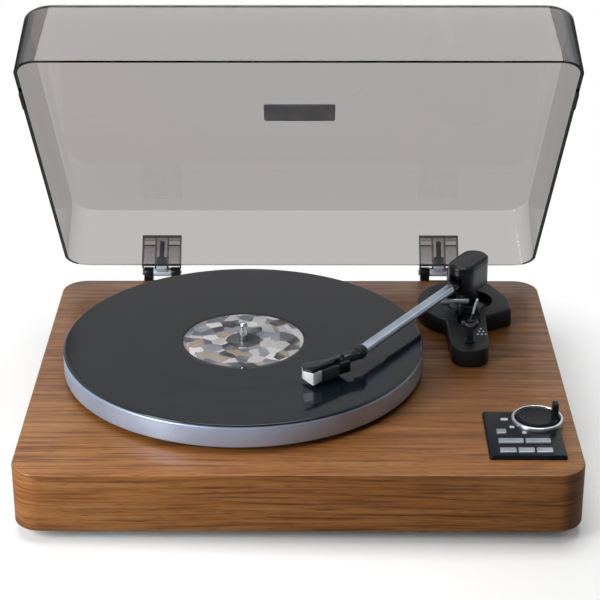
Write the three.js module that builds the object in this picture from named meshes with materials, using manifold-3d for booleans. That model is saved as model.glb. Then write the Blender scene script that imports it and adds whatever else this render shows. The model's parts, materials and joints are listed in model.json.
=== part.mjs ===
// Belt-drive record player with a hinged dust cover, in millimetres, +Z up.
// Front is -Y, right is +X. Heights of parts on the case are counted from the deck, its top surface.
import * as THREE from 'three';
import { mergeVertices } from 'three/addons/utils/BufferGeometryUtils.js';
import Module from 'manifold-3d';

const wasm = await Module();
wasm.setup();

// ---- Driving dimensions ---------------------------------------------------------------------

// Running or seating gap between two pieces that meet
const gap = 0.3;

// Case
const caseWidth = 440;
const caseDepth = 364;
const caseHeight = 49.5;
const caseCornerRadius = 22;
const caseWall = 12;
const caseEdgeChamfer = 1;
const deckThickness = 10;
const coverThickness = 3;
const coverRecess = 1;
const coverLedge = 4;
const footHeight = 10;
const footRadius = 19;
const footInset = 44;

// Record, platter and drive
const spindleX = -47;
const spindleY = 3.7;
const spindleRadius = 3.5;
const spindleTop = 40.5;
const recordRadius = 151;
const recordThickness = 1.8;
const labelRadius = 50;
const labelThickness = 0.3;
const matThickness = 1.4;
const platterRadius = recordRadius;
const matInset = 5;
const matRadius = platterRadius - matInset;
const platterBottom = 4;
const platterHeight = 17.8;
const platterPlate = 5;
const platterSkirt = 5;
const matRecess = 1.6;
const innerPlatterRadius = 85;
const innerPlatterWall = 4;
const innerPlatterBottom = 5;
const innerPlatterPlate = 3;
const hubRadius = 9;
const bearingDepth = 36;
const bearingRadius = 9;
const bearingFlangeRadius = 18;
const bearingFlange = 2.4;
const motorDistance = 118;
const motorAngle = 135;
const motorRadius = 17.5;
const motorHeight = 22;
const motorShaftRadius = 1;
const motorPlateThickness = 1.6;
const motorPlateLength = 62;
const motorPlateWidth = 44;
const motorPlateCorner = 6;
const motorBossRadius = 5;
const pulleyRadius = 6;
const pulleyFlange = 2;
const beltWidth = 5;
const beltThickness = 0.8;
const beltBottom = 6.3;

// Tonearm: pivot place, rest direction, and lengths from the pivot
const pivotX = 148.6;
const pivotY = 102;
const armDirection = 236.7;
const armHeight = 38.6;
const armBaseRadius = 43.5;
const armBaseHeight = 16.5;
const armBaseRightFlat = 38.5;
const armBaseFrontFlat = 36;
const armBaseFrontFlatAngle = -58.5;
const armBaseBackFlat = 37;
const armBaseBackFlatAngle = 24;
const armWellRadius = 23.5;
const armWellDepth = 7;
const armPostRadius = 9;
const armPostFlange = 15.5;
const yawShaftRadius = 3;
const housingLength = 20.9;
const housingRadius = 12.6;
const housingSetback = 1.5;
const housingSlotTop = 47.3;
const housingBottom = 30;
const housingTop = 56;
const housingCap = 4;
const housingCapBevel = 2.6;
const housingWall = 2.2;
const tubeRadius = 4.5;
const tubeWall = 0.8;
const tubeEnd = 175.5;
const yokeHalf = 4;
const yokeLength = 6;
const axleRadius = 1.5;
const weightLength = 13;
const weightHeight = 11.5;
const weightWidth = 15;
const headOffset = 22.7;
const collarLength = 9;
const headJoint = 184.5;
const headLength = 48.5;
const headPoint = 4;
const nosePointBottom = 30.6;
const headWidth = 16.5;
const shellNeckStart = 4;
const shellNeckEnd = 28;
const shellNeckHalf = 4;
const shellCheekStart = 12;
const shellCheekEnd = 22;
const shellPlate = 1.8;
const headBottom = 26.6;
const headTop = 37.5;
const noseLength = 8.5;
const stylusSetback = 3;
const stylusLift = 0.3;

// Leg in front of the tonearm base, arm rest, cue lever and lift bar, from the pivot
const legX = -3.2;
const legHalfWidth = 15.4;
const legShoulder = 18.5;
const legReach = 102.4;
const legHeight = 16;
const restX = -3.8;
const restY = -84.5;
const restWidth = 14;
const restStem = 5.8;
const grooveHalfWidth = 1;
const liftBarY = -29;
const liftBarHeight = 28.6;
const liftBarRadius = 2.2;
const liftBarLeft = -26;
const liftBarRight = 0;
const liftStemX = -7;
const cueSlotRight = 9;
const cueSlotLeft = -11;
const cueSlotFront = -48;
const leverX = 1;
const leverY = -38;
const leverHeight = 12.5;
const leverReach = [6.5, 10.5, 18];
const leverHubRadius = 2.4;
const leverRodRadius = 1.3;

// Control panel, buttons and selector
const panelFromRight = 13;
const panelFromFront = 23.8;
const panelWidth = 60;
const panelDepth = 73.7;
const panelHeight = 3.5;
const panelTubInset = 3;
const buttonDepth = 7;
const buttonTop = 4.8;
const buttonBottom = -9.1;
const buttonsFromFront = 8.4;
const buttonsFromLeft = 8.6;
const buttonRowWidth = 40.8;
const buttonRowPitch = 15;
const buttonSpacing = 1.4;
const squareButtonWidth = 7.7;
const selectorFromRight = 17.2;
const selectorFromBack = 15;
const selectorRadius = 20.6;
const selectorBand = 3.6;
const selectorTop = 6.5;
const selectorShaftRadius = 3.5;
const finHeight = 19;
const finWidth = 8;
const finThickness = 5;
const finInset = 0.4;
const boardThickness = 1.6;

// Dust cover, in a frame on the hinge line with the cover closed
const lidSideInset = 2;
const lidFrontInset = 3;
const lidHeight = 56.5;
const lidWall = 3;
const lidCornerRadius = 19.5;
const lidTopCornerRadius = 25.6;
const lidSideDraft = 2.7;
const lidFrontDraft = 8;
const lidBackDraft = 4;
const lidEdgeRadius = 4;
const lidClosedGap = 3.5;
const lidSetback = 2.5;
const lidOpenAngle = 48.74;
const bumperLength = 23;
const bumperFromFront = 45;
const badgeWidth = 61;
const badgeDepth = 27;
const badgeThickness = 1.2;
const badgeFromBack = 188;

// Hinges
const hingeFromSide = 90;
const hingeBehindCase = 11.7;
const hingeHeight = 3.4;
const hingeEarRadius = 4.5;
const hingePinRadius = 1.6;
const hingeWidth = 34;
const hingeEar = 8.5;
const bracketDrop = 28;
const bracketPlate = 3;
const socketHalfWidth = 18.3;
const socketHeight = 30;
const socketDepth = 7.5;
const socketWall = 1.5;
const leafThickness = 1.8;

// Rear connector panel
const rearPanelX = -50;
const rearPanelWidth = 90;
const rearPanelHeight = 30;
const rearPanelDepth = 2;
const rearPanelDrop = 11;
const jackPitch = 18;
const jackRadius = 4.2;
const jackLength = 8;
const jackBore = 1.7;
const powerSocketBore = 3.3;
const powerSocketSize = 11;
const switchTravel = 4;
const switchKnob = 5;

// ---- Sizes and places that follow the case --------------------------------------------------

const lidWidth = caseWidth - 2 * lidSideInset;
const lidDepth = caseDepth - lidFrontInset;
const hingeX = caseWidth / 2 - hingeFromSide;

const panelRight = caseWidth / 2 - panelFromRight;
const panelLeft = panelRight - panelWidth;
const panelFront = -caseDepth / 2 + panelFromFront;
const panelBack = panelFront + panelDepth;
const selectorX = panelRight - selectorFromRight;
const selectorY = panelBack - selectorFromBack;
const buttonsLeft = panelLeft + buttonsFromLeft;
const buttonsFront = panelFront + buttonsFromFront;

// ---- Facets on round pieces -----------------------------------------------------------------

const wideSides = 64;
const middleSides = 32;
const smallSides = 16;
const cornerSteps = 4;
const smallCornerSteps = 1;

// ---- Solids from three.js geometry ----------------------------------------------------------

const degrees = THREE.MathUtils.degToRad;

// A three.js geometry as a closed solid with its faces outward
function toSolid(geometry) {
  const bare = geometry.index ? geometry.toNonIndexed() : geometry.clone();
  bare.deleteAttribute('normal');
  bare.deleteAttribute('uv');
  const merged = mergeVertices(bare, 1e-4);
  const points = merged.attributes.position.array;
  const index = merged.index.array;
  const triangles = [];
  let volume = 0;
  const a = new THREE.Vector3();
  const b = new THREE.Vector3();
  const c = new THREE.Vector3();
  for (let i = 0; i < index.length; i += 3) {
    const [p, q, r] = index.slice(i, i + 3);
    if (p === q || q === r || r === p) continue;
    triangles.push(p, q, r);
    volume += a.fromArray(points, 3 * p).dot(b.fromArray(points, 3 * q).cross(c.fromArray(points, 3 * r)));
  }
  if (volume < 0) triangles.reverse();
  return new wasm.Manifold(new wasm.Mesh({
    numProp: 3,
    vertProperties: new Float32Array(points),
    triVerts: new Uint32Array(triangles),
  }));
}

// A solid as a three.js geometry
function toGeometry(solid) {
  const mesh = solid.getMesh();
  const geometry = new THREE.BufferGeometry();
  geometry.setAttribute('position', new THREE.BufferAttribute(mesh.vertProperties, 3));
  geometry.setIndex(new THREE.BufferAttribute(mesh.triVerts, 1));
  const flat = geometry.toNonIndexed();
  flat.computeVertexNormals();
  return flat;
}

function join(first, ...others) {
  return others.reduce((sum, other) => sum.add(other), first);
}

function cut(body, ...tools) {
  return tools.reduce((rest, tool) => rest.subtract(tool), body);
}

// A box from its limits along each axis
function block([x0, x1], [y0, y1], [z0, z1]) {
  const geometry = new THREE.BoxGeometry(x1 - x0, y1 - y0, z1 - z0);
  return toSolid(geometry.translate((x0 + x1) / 2, (y0 + y1) / 2, (z0 + z1) / 2));
}

// A round rod between two points
function rod(radius, from, to, sides = smallSides) {
  const start = new THREE.Vector3(...from);
  const end = new THREE.Vector3(...to);
  const along = end.clone().sub(start);
  const geometry = new THREE.CylinderGeometry(radius, radius, along.length(), sides);
  const up = new THREE.Vector3(0, 1, 0);
  const turn = new THREE.Quaternion().setFromUnitVectors(up, along.clone().normalize());
  geometry.applyQuaternion(turn);
  return toSolid(geometry.translate(...start.add(end).multiplyScalar(0.5).toArray()));
}

// An upright round post
function post(radius, [z0, z1], [x, y] = [0, 0], sides = smallSides) {
  return rod(radius, [x, y, z0], [x, y, z1], sides);
}

// A profile of [radius, height] points turned about the Z axis; it closes on itself or on the axis
function turned(profile, sides = middleSides) {
  const points = profile.map(([radius, height]) => new THREE.Vector2(radius, height));
  if (profile[0][0] > 0) points.push(points[0].clone());
  return toSolid(new THREE.LatheGeometry(points, sides).rotateX(Math.PI / 2));
}

// An upright prism of a flat shape
function prism(shape, [z0, z1], steps = cornerSteps) {
  const options = { depth: z1 - z0, bevelEnabled: false, curveSegments: steps };
  const geometry = new THREE.ExtrudeGeometry(shape, options);
  return toSolid(geometry.translate(0, 0, z0));
}

// A rectangle with round corners, about a centre
function roundedRectangle(width, depth, radius, x = 0, y = 0) {
  const shape = new THREE.Shape();
  const right = width / 2 - radius;
  const back = depth / 2 - radius;
  shape.absarc(x + right, y + back, radius, 0, Math.PI / 2);
  shape.absarc(x - right, y + back, radius, Math.PI / 2, Math.PI);
  shape.absarc(x - right, y - back, radius, Math.PI, Math.PI * 1.5);
  shape.absarc(x + right, y - back, radius, Math.PI * 1.5, Math.PI * 2);
  shape.closePath();
  return shape;
}

// A stadium: two half circles a length apart along X, about a centre on X
function stadium(length, radius, x = 0) {
  const shape = new THREE.Shape();
  shape.absarc(x + length / 2, 0, radius, -Math.PI / 2, Math.PI / 2);
  shape.absarc(x - length / 2, 0, radius, Math.PI / 2, Math.PI * 1.5);
  shape.closePath();
  return shape;
}

// A convex solid through a stack of rings that have the same number of points
function lofted(rings) {
  const count = rings[0].length;
  const last = rings.length - 1;
  const positions = [];
  const put = (...points) => points.forEach((point) => positions.push(...point));
  for (let level = 0; level < last; level += 1) {
    for (let i = 0; i < count; i += 1) {
      const next = (i + 1) % count;
      put(rings[level][i], rings[level][next], rings[level + 1][next]);
      put(rings[level][i], rings[level + 1][next], rings[level + 1][i]);
    }
  }
  for (let i = 1; i < count - 1; i += 1) {
    put(rings[0][0], rings[0][i + 1], rings[0][i]);
    put(rings[last][0], rings[last][i], rings[last][i + 1]);
  }
  const geometry = new THREE.BufferGeometry();
  geometry.setAttribute('position', new THREE.Float32BufferAttribute(positions, 3));
  return toSolid(geometry);
}

// One ring of a lofted solid: a rounded rectangle between its limits, at a height
function ring([x0, x1], [y0, y1], radius, z, steps = cornerSteps) {
  const shape = roundedRectangle(x1 - x0, y1 - y0, radius, (x0 + x1) / 2, (y0 + y1) / 2);
  const points = shape.getPoints(steps);
  points.pop();
  return points.map((point) => [point.x, point.y, z]);
}

// ---- Finishes and assembly ------------------------------------------------------------------

const finishes = {
  walnut: { color: 0x8d6139, roughness: 0.55, metalness: 0 },
  fibreboard: { color: 0x2a2624, roughness: 0.85, metalness: 0 },
  rubber: { color: 0x171717, roughness: 0.9, metalness: 0 },
  blackPlastic: { color: 0x202225, roughness: 0.5, metalness: 0 },
  glossBlack: { color: 0x141517, roughness: 0.25, metalness: 0 },
  vinyl: { color: 0x101112, roughness: 0.3, metalness: 0 },
  paper: { color: 0xc9c2b8, roughness: 0.8, metalness: 0 },
  aluminium: { color: 0xa7aab0, roughness: 0.35, metalness: 1 },
  armAluminium: { color: 0x8b97a6, roughness: 0.4, metalness: 1 },
  chrome: { color: 0xd8dadd, roughness: 0.12, metalness: 1 },
  steel: { color: 0x8a8c8f, roughness: 0.4, metalness: 1 },
  silverPlastic: { color: 0xb9bdc4, roughness: 0.35, metalness: 0.4 },
  whitePlastic: { color: 0xe9e9e6, roughness: 0.4, metalness: 0 },
  brass: { color: 0xb08d4c, roughness: 0.4, metalness: 1 },
  circuit: { color: 0x1d4a2c, roughness: 0.6, metalness: 0 },
  smokedAcrylic: { color: 0x6f6a68, roughness: 0.08, metalness: 0, transparent: true, opacity: 0.4 },
};

// Adds one named piece to a group
function add(group, name, solid, finish) {
  const mesh = new THREE.Mesh(toGeometry(solid), new THREE.MeshStandardMaterial(finishes[finish]));
  mesh.name = name;
  group.add(mesh);
}

const recordPlayer = new THREE.Group();

// Everything that is placed from the deck, at the deck's height above the floor
const deck = new THREE.Group();
deck.position.z = footHeight + caseHeight;
recordPlayer.add(deck);

const platterAxis = new THREE.Group();
platterAxis.position.set(spindleX, spindleY, 0);
deck.add(platterAxis);

const motorAxis = new THREE.Group();
motorAxis.position.set(
  motorDistance * Math.cos(degrees(motorAngle)),
  motorDistance * Math.sin(degrees(motorAngle)),
  0,
);
platterAxis.add(motorAxis);

const armBase = new THREE.Group();
armBase.position.set(pivotX, pivotY, 0);
deck.add(armBase);

// The tonearm's frame: X runs from the pivot towards the head
const arm = new THREE.Group();
arm.rotation.z = degrees(armDirection);
armBase.add(arm);

// The headshell's frame: X runs along it towards its nose
const head = new THREE.Group();
head.position.set(headJoint, 0, 0);
head.rotation.z = -degrees(headOffset);
arm.add(head);

// The cover's frame: on the hinge line, turned back from its closed place
const cover = new THREE.Group();
cover.position.set(0, caseDepth / 2 + hingeBehindCase, hingeHeight);
cover.rotation.x = -degrees(lidOpenAngle);
deck.add(cover);

// ---- Case -----------------------------------------------------------------------------------

const caseBottom = -caseHeight;
const coverTop = caseBottom + coverRecess + coverThickness;
const rearPanelTop = -rearPanelDrop;
const rearPanelBottom = rearPanelTop - rearPanelHeight;
const rearPanelBack = caseDepth / 2;
const rearPanelBorder = 4;

function wallOutline(inset) {
  const radius = Math.max(caseCornerRadius - inset, 4);
  return roundedRectangle(caseWidth - 2 * inset, caseDepth - 2 * inset, radius);
}

// Hollow wooden case, open below, with the deck's holes and the rear window
function makeCase() {
  const half = [caseWidth / 2, caseDepth / 2];
  const flush = (inset, z) => ring(
    [-half[0] + inset, half[0] - inset],
    [-half[1] + inset, half[1] - inset],
    caseCornerRadius - inset,
    z,
  );
  const outside = lofted([
    flush(0, caseBottom),
    flush(0, -caseEdgeChamfer),
    flush(caseEdgeChamfer, 0),
  ]);
  const below = caseBottom - 1;
  const inside = prism(wallOutline(caseWall), [below, -deckThickness]);
  const rebate = prism(wallOutline(caseWall - coverLedge), [below, coverTop + gap]);
  const bearingHole = post(bearingRadius + gap, [-deckThickness - 1, 1], [spindleX, spindleY], middleSides);
  const motorX = spindleX + motorAxis.position.x;
  const motorY = spindleY + motorAxis.position.y;
  const motorHoleRadius = pulleyRadius + pulleyFlange + 2;
  const motorHole = post(motorHoleRadius, [-deckThickness - 1, 1], [motorX, motorY], middleSides);
  const armHole = post(armWellRadius / 2, [-deckThickness - 1, 1], [pivotX, pivotY], middleSides);
  const tub = block(
    [panelLeft + panelTubInset - gap, panelRight - panelTubInset + gap],
    [panelFront + panelTubInset - gap, panelBack - panelTubInset + gap],
    [-deckThickness - 1, 1],
  );
  const plateLeft = rearPanelX - rearPanelWidth / 2;
  const plateRight = rearPanelX + rearPanelWidth / 2;
  const plateSeat = block(
    [plateLeft - gap, plateRight + gap],
    [rearPanelBack - rearPanelDepth - gap, rearPanelBack + 1],
    [rearPanelBottom - gap, rearPanelTop + gap],
  );
  const window = block(
    [plateLeft + rearPanelBorder, plateRight - rearPanelBorder],
    [rearPanelBack - caseWall - 1, rearPanelBack + 1],
    [rearPanelBottom + rearPanelBorder, rearPanelTop - rearPanelBorder],
  );
  return cut(outside, inside, rebate, bearingHole, motorHole, armHole, tub, plateSeat, window);
}

function makeBottomCover() {
  const outline = wallOutline(caseWall - coverLedge + gap);
  return prism(outline, [caseBottom + coverRecess, coverTop]);
}

function makeFoot() {
  const top = caseBottom + coverRecess - gap;
  const floor = caseBottom - footHeight;
  return turned([
    [0, floor],
    [footRadius - 4, floor],
    [footRadius - 2, floor + 1.5],
    [footRadius, top - 4],
    [footRadius, top],
    [0, top],
  ], smallSides + 4);
}

function addFeet() {
  const x = caseWidth / 2 - footInset;
  const y = caseDepth / 2 - footInset;
  const corners = { front_left: [-x, -y], front_right: [x, -y], back_left: [-x, y], back_right: [x, y] };
  Object.entries(corners).forEach(([corner, place]) => {
    const spot = new THREE.Group();
    spot.position.set(...place, 0);
    deck.add(spot);
    add(spot, `foot_${corner}`, makeFoot(), 'rubber');
  });
}

// ---- Platter, record and drive --------------------------------------------------------------

const platterTop = platterBottom + platterHeight;
const matSeat = platterTop - matRecess;
const innerPlatterTop = matSeat - platterPlate - gap;
const matBottom = matSeat + gap;
const recordBottom = matBottom + matThickness + gap;
const recordTop = recordBottom + recordThickness;
const holeRadius = spindleRadius + gap;

// Cast platter: a recessed top for the mat, and a skirt round the edge
function makePlatter() {
  const skirtInside = platterRadius - platterSkirt;
  return turned([
    [holeRadius, matSeat - platterPlate],
    [skirtInside - 2, matSeat - platterPlate],
    [skirtInside, matSeat - platterPlate - 2],
    [skirtInside, platterBottom],
    [platterRadius - 1, platterBottom],
    [platterRadius, platterBottom + 1],
    [platterRadius, platterTop - 1],
    [platterRadius - 1, platterTop],
    [matRadius + gap, platterTop],
    [matRadius + gap, matSeat],
    [holeRadius, matSeat],
  ], wideSides);
}

// Plastic inner platter: the belt runs round its rim
function makeInnerPlatter() {
  const rimInside = innerPlatterRadius - innerPlatterWall;
  const web = innerPlatterTop - innerPlatterPlate;
  return turned([
    [holeRadius, innerPlatterBottom],
    [hubRadius, innerPlatterBottom],
    [hubRadius, web],
    [rimInside, web],
    [rimInside, innerPlatterBottom],
    [innerPlatterRadius, innerPlatterBottom],
    [innerPlatterRadius, innerPlatterTop],
    [holeRadius, innerPlatterTop],
  ], wideSides);
}

function makeMat() {
  return turned([
    [holeRadius, matBottom],
    [matRadius, matBottom],
    [matRadius, matBottom + matThickness],
    [holeRadius, matBottom + matThickness],
  ], wideSides);
}

// Record with a thicker rim bead and a shallow seat for its label
function makeRecord() {
  const seatDepth = labelThickness + gap / 2;
  return turned([
    [holeRadius, recordBottom],
    [recordRadius - 1, recordBottom],
    [recordRadius, recordBottom + recordThickness / 2],
    [recordRadius - 1, recordTop],
    [labelRadius + gap, recordTop],
    [labelRadius + gap, recordTop - seatDepth],
    [holeRadius, recordTop - seatDepth],
  ], wideSides);
}

function makeLabel() {
  return turned([
    [holeRadius, recordTop - labelThickness],
    [labelRadius, recordTop - labelThickness],
    [labelRadius, recordTop],
    [holeRadius, recordTop],
  ], middleSides);
}

function makeSpindle() {
  const bottom = -bearingDepth + 2 + gap;
  return turned([
    [0, bottom],
    [spindleRadius, bottom],
    [spindleRadius, spindleTop - 3],
    [spindleRadius * 0.8, spindleTop - 1],
    [0, spindleTop],
  ], smallSides);
}

// Blind sleeve under the deck that carries the spindle, with a flange on the deck
function makeBearing() {
  return turned([
    [0, -bearingDepth],
    [bearingRadius, -bearingDepth],
    [bearingRadius, gap],
    [bearingFlangeRadius, gap],
    [bearingFlangeRadius, bearingFlange],
    [holeRadius, bearingFlange],
    [holeRadius, -bearingDepth + 2],
    [0, -bearingDepth + 2],
  ], middleSides);
}

const motorPlateTop = -deckThickness - gap;
const motorTop = motorPlateTop - motorPlateThickness - gap;

function makeMotor() {
  const can = post(motorRadius, [motorTop - motorHeight, motorTop], [0, 0], middleSides);
  const boss = post(motorBossRadius, [motorTop - 1, -deckThickness + 2]);
  const shaft = post(motorShaftRadius, [motorTop, beltBottom + beltWidth + pulleyFlange], [0, 0], 12);
  return join(can, boss, shaft);
}

function makeMotorPlate() {
  const outline = roundedRectangle(motorPlateLength, motorPlateWidth, motorPlateCorner);
  const plate = prism(outline, [motorPlateTop - motorPlateThickness, motorPlateTop]);
  return cut(plate, post(motorBossRadius + gap, [motorPlateTop - 5, motorPlateTop + 1]));
}

function makePulley() {
  const bottom = beltBottom - gap;
  const top = beltBottom + beltWidth + gap;
  const bore = motorShaftRadius + gap;
  return turned([
    [bore, bottom - pulleyFlange],
    [pulleyRadius + pulleyFlange, bottom - pulleyFlange],
    [pulleyRadius + pulleyFlange, bottom - pulleyFlange / 2],
    [pulleyRadius, bottom],
    [pulleyRadius, top],
    [pulleyRadius + pulleyFlange, top + pulleyFlange / 2],
    [pulleyRadius + pulleyFlange, top + pulleyFlange],
    [bore, top + pulleyFlange],
  ], smallSides);
}

// A taut loop round two circles: arcs joined by their outer tangents
function loopOutline(bigRadius, smallRadius) {
  const tangent = Math.acos((bigRadius - smallRadius) / motorDistance);
  const shape = new THREE.Shape();
  shape.absarc(0, 0, bigRadius, tangent, Math.PI * 2 - tangent);
  shape.absarc(motorDistance, 0, smallRadius, -tangent, tangent);
  shape.closePath();
  return shape;
}

function makeBelt() {
  const inner = loopOutline(innerPlatterRadius + gap, pulleyRadius + gap);
  const outer = loopOutline(innerPlatterRadius + gap + beltThickness, pulleyRadius + gap + beltThickness);
  const steps = wideSides / 3;
  const loop = cut(
    prism(outer, [beltBottom, beltBottom + beltWidth], steps),
    prism(inner, [beltBottom - 1, beltBottom + beltWidth + 1], steps),
  );
  return loop.rotate([0, 0, motorAngle]);
}

// ---- Tonearm base ---------------------------------------------------------------------------

const wellFloor = armBaseHeight - armWellDepth;
const postTop = housingBottom - gap;

function legOutline() {
  const front = legReach - legHalfWidth;
  const shape = new THREE.Shape();
  shape.moveTo(legX - legShoulder, -armWellRadius);
  shape.lineTo(legX - legHalfWidth, -front);
  shape.absarc(legX, -front, legHalfWidth, Math.PI, Math.PI * 2);
  shape.lineTo(legX + legShoulder, -armWellRadius);
  shape.closePath();
  return shape;
}

// Round base with three flats at its right, a leg towards the front, and a well for the mechanism
function makeArmBase() {
  const disc = turned([
    [0, gap],
    [armBaseRadius, gap],
    [armBaseRadius, armBaseHeight - 2],
    [armBaseRadius - 2, armBaseHeight],
    [0, armBaseHeight],
  ], middleSides + 8);
  const size = 2 * armBaseRadius;
  const flat = (distance, angle) => toSolid(
    new THREE.BoxGeometry(size, size, size).translate(distance + size / 2, 0, 0).rotateZ(degrees(angle)),
  );
  const flats = [
    flat(armBaseRightFlat, 0),
    flat(armBaseFrontFlat, armBaseFrontFlatAngle),
    flat(armBaseBackFlat, armBaseBackFlatAngle),
  ];
  const leg = prism(legOutline(), [gap, legHeight], cornerSteps * 2);
  const well = post(armWellRadius, [wellFloor, armBaseHeight + 1], [0, 0], middleSides);
  const slot = block([cueSlotLeft, cueSlotRight], [cueSlotFront, 0], [wellFloor, armBaseHeight + 1]);
  const stemBore = post(liftBarRadius + gap, [1.5, wellFloor + 1], [liftStemX, liftBarY]);
  const shaftBore = post(yawShaftRadius + gap, [-1, wellFloor + 1]);
  const groove = block(
    [restX - grooveHalfWidth, restX + grooveHalfWidth],
    [restY + 6, cueSlotFront - 4],
    [legHeight - 1, legHeight + 1],
  );
  return cut(join(cut(disc, ...flats), leg), well, slot, stemBore, shaftBore, groove);
}

// Fixed post under the housing, bored for the turning shaft
function makeArmPost() {
  const bore = yawShaftRadius + gap;
  return turned([
    [bore, wellFloor + gap],
    [armPostFlange, wellFloor + gap],
    [armPostFlange, wellFloor + 2.5],
    [armPostRadius, wellFloor + 3.5],
    [armPostRadius, postTop],
    [bore, postTop],
  ], middleSides);
}

const restTop = armHeight - tubeRadius - 0.6;

// Stem with a cradle that the parked tube rests in, on the leg
function makeArmRest() {
  const seat = legHeight + gap;
  const cradleBottom = restTop - 6;
  const half = restWidth / 2;
  const stem = block([-restStem / 2, restStem / 2], [-2.5, 2.5], [seat, cradleBottom + 1]);
  const foot = block([-restStem / 2 - 1.5, restStem / 2 + 1.5], [-4, 4], [seat, seat + 2]);
  const cheeks = rod(half, [0, -3, 0], [0, 3, 0], middleSides)
    .intersect(block([-half, half], [-3, 3], [-half, 0]))
    .scale([1, 1, 6 / half])
    .translate([0, 0, restTop]);
  const dip = rod(tubeRadius + gap, [0, -5, 0], [0, 5, 0], smallSides).translate([0, 0, restTop + 2.3]);
  return cut(join(stem, foot, cheeks), dip);
}

// Silver bar that lifts the tube, on a stem that slides in the base
function makeLiftBar() {
  const left = [liftBarLeft, liftBarY, liftBarHeight];
  const right = [liftBarRight, liftBarY, liftBarHeight];
  const bar = rod(liftBarRadius, left, right);
  const stem = post(liftBarRadius, [2, liftBarHeight], [liftStemX, liftBarY]);
  return join(bar, stem);
}

// Cue lever: a cross hub in the slot with a slanting rod
function makeCueLever() {
  const hub = rod(leverHubRadius, [leverX - 3, 0, 0], [cueSlotRight - gap, 0, 0]);
  const [reachX, reachY, reachZ] = leverReach;
  const handle = rod(leverRodRadius, [leverX, 0, 0], [leverX + reachX, reachY, reachZ], 12);
  return join(hub, handle);
}

// ---- Tonearm --------------------------------------------------------------------------------

const wallTop = housingTop - housingCap - gap;

function housingOutline(inset) {
  return stadium(housingLength, housingRadius - inset, -housingSetback);
}

// Stadium-shaped shell that turns on the post, with a slot in front for the tube
function makeHousing() {
  const outer = prism(housingOutline(0), [housingBottom, wallTop], cornerSteps * 2);
  const hollow = prism(
    housingOutline(housingWall),
    [housingBottom + housingWall, wallTop + 1],
    cornerSteps * 2,
  );
  const slotHalf = tubeRadius + 1;
  const slot = block([0, 40], [-slotHalf, slotHalf], [armHeight - tubeRadius - 0.6, housingSlotTop]);
  const shaftHole = post(yawShaftRadius + gap, [housingBottom - 1, housingBottom + housingWall + 1]);
  return cut(outer, hollow, slot, shaftHole);
}

function makeHousingCap() {
  const level = (inset, z) => housingOutline(inset).getPoints(cornerSteps * 2).slice(0, -1)
    .map((point) => [point.x, point.y, z]);
  return lofted([
    level(0, housingTop - housingCap),
    level(0, housingTop - housingCapBevel),
    level(housingCapBevel * 0.45, housingTop - housingCapBevel * 0.35),
    level(housingCapBevel, housingTop),
  ]);
}

// Shaft that the housing turns on, with a head over the housing's floor
function makeYawShaft() {
  const floor = housingBottom + housingWall;
  return turned([
    [0, wellFloor - 4],
    [yawShaftRadius, wellFloor - 4],
    [yawShaftRadius, floor + gap],
    [yawShaftRadius + 2, floor + gap],
    [yawShaftRadius + 2, floor + gap + 1],
    [0, floor + gap + 1],
  ]);
}

// A round rod on the tube's axis, from one distance from the pivot to another
function alongArm(radius, [start, end], sides = smallSides) {
  return rod(radius, [start, 0, armHeight], [end, 0, armHeight], sides);
}

// Block on the tilt axle, with a spigot inside the tube
function makeYoke() {
  const body = block([-yokeHalf, yokeLength], [-6, 6], [armHeight - yokeHalf, armHeight + yokeHalf]);
  const spigot = alongArm(tubeRadius - tubeWall - gap, [yokeLength - 1, yokeLength + 10]);
  const bore = rod(axleRadius + gap, [0, -9, armHeight], [0, 9, armHeight]);
  return cut(join(body, spigot), bore);
}

function makeAxle() {
  const half = housingRadius - housingWall - gap;
  return rod(axleRadius, [0, -half, armHeight], [0, half, armHeight]);
}

function makeCounterweight() {
  const front = -yokeHalf - gap;
  const bottom = armHeight - 1.6;
  const half = weightWidth / 2;
  return block([front - weightLength, front], [-half, half], [bottom, bottom + weightHeight]);
}

function makeTube() {
  const start = yokeLength + gap;
  const sides = smallSides + 4;
  const outside = alongArm(tubeRadius, [start, tubeEnd], sides);
  const inside = alongArm(tubeRadius - tubeWall, [start - 1, tubeEnd + 1], sides);
  return cut(outside, inside);
}

// Ribbed locking collar at the end of the tube
function makeCollar() {
  const start = tubeEnd + gap;
  const body = alongArm(tubeRadius + 0.6, [start, start + collarLength]);
  const middle = start + collarLength / 2;
  const bead = alongArm(tubeRadius + 1.5, [middle - 1.5, middle + 1.5]);
  const spigot = alongArm(tubeRadius - tubeWall - gap, [tubeEnd - 6, start + 1]);
  return join(body, bead, spigot);
}

const noseFront = headLength;
const noseBack = noseFront - noseLength;
const plateTop = headTop + shellPlate;

// Headshell: neck from the collar, and a shell over the cartridge
function makeHeadshell() {
  const half = headWidth / 2;
  const shape = new THREE.Shape();
  shape.moveTo(shellNeckStart, -shellNeckHalf);
  shape.lineTo(shellNeckEnd, -shellNeckHalf);
  shape.lineTo(noseFront, -half);
  shape.lineTo(noseFront + headPoint + 0.5, 0);
  shape.lineTo(noseFront, half);
  shape.lineTo(shellNeckEnd, shellNeckHalf);
  shape.lineTo(shellNeckStart, shellNeckHalf);
  shape.closePath();
  const plate = prism(shape, [headTop + gap, plateTop + gap]);
  const cheek = half - 0.5;
  const rear = block([shellCheekStart, shellCheekEnd], [-cheek, cheek], [headBottom + 2.5, headTop + 1]);
  const neck = rod(4.6, [-4, 0, armHeight], [14, 0, armHeight - 1.5], smallSides);
  const collarFace = tubeEnd + collarLength + 2 * gap - headJoint;
  const behind = toSolid(new THREE.BoxGeometry(20, 40, 40)
    .translate(collarFace - 10, 0, armHeight)
    .rotateZ(degrees(headOffset)));
  return join(plate, rear, cut(neck, behind));
}

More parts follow.
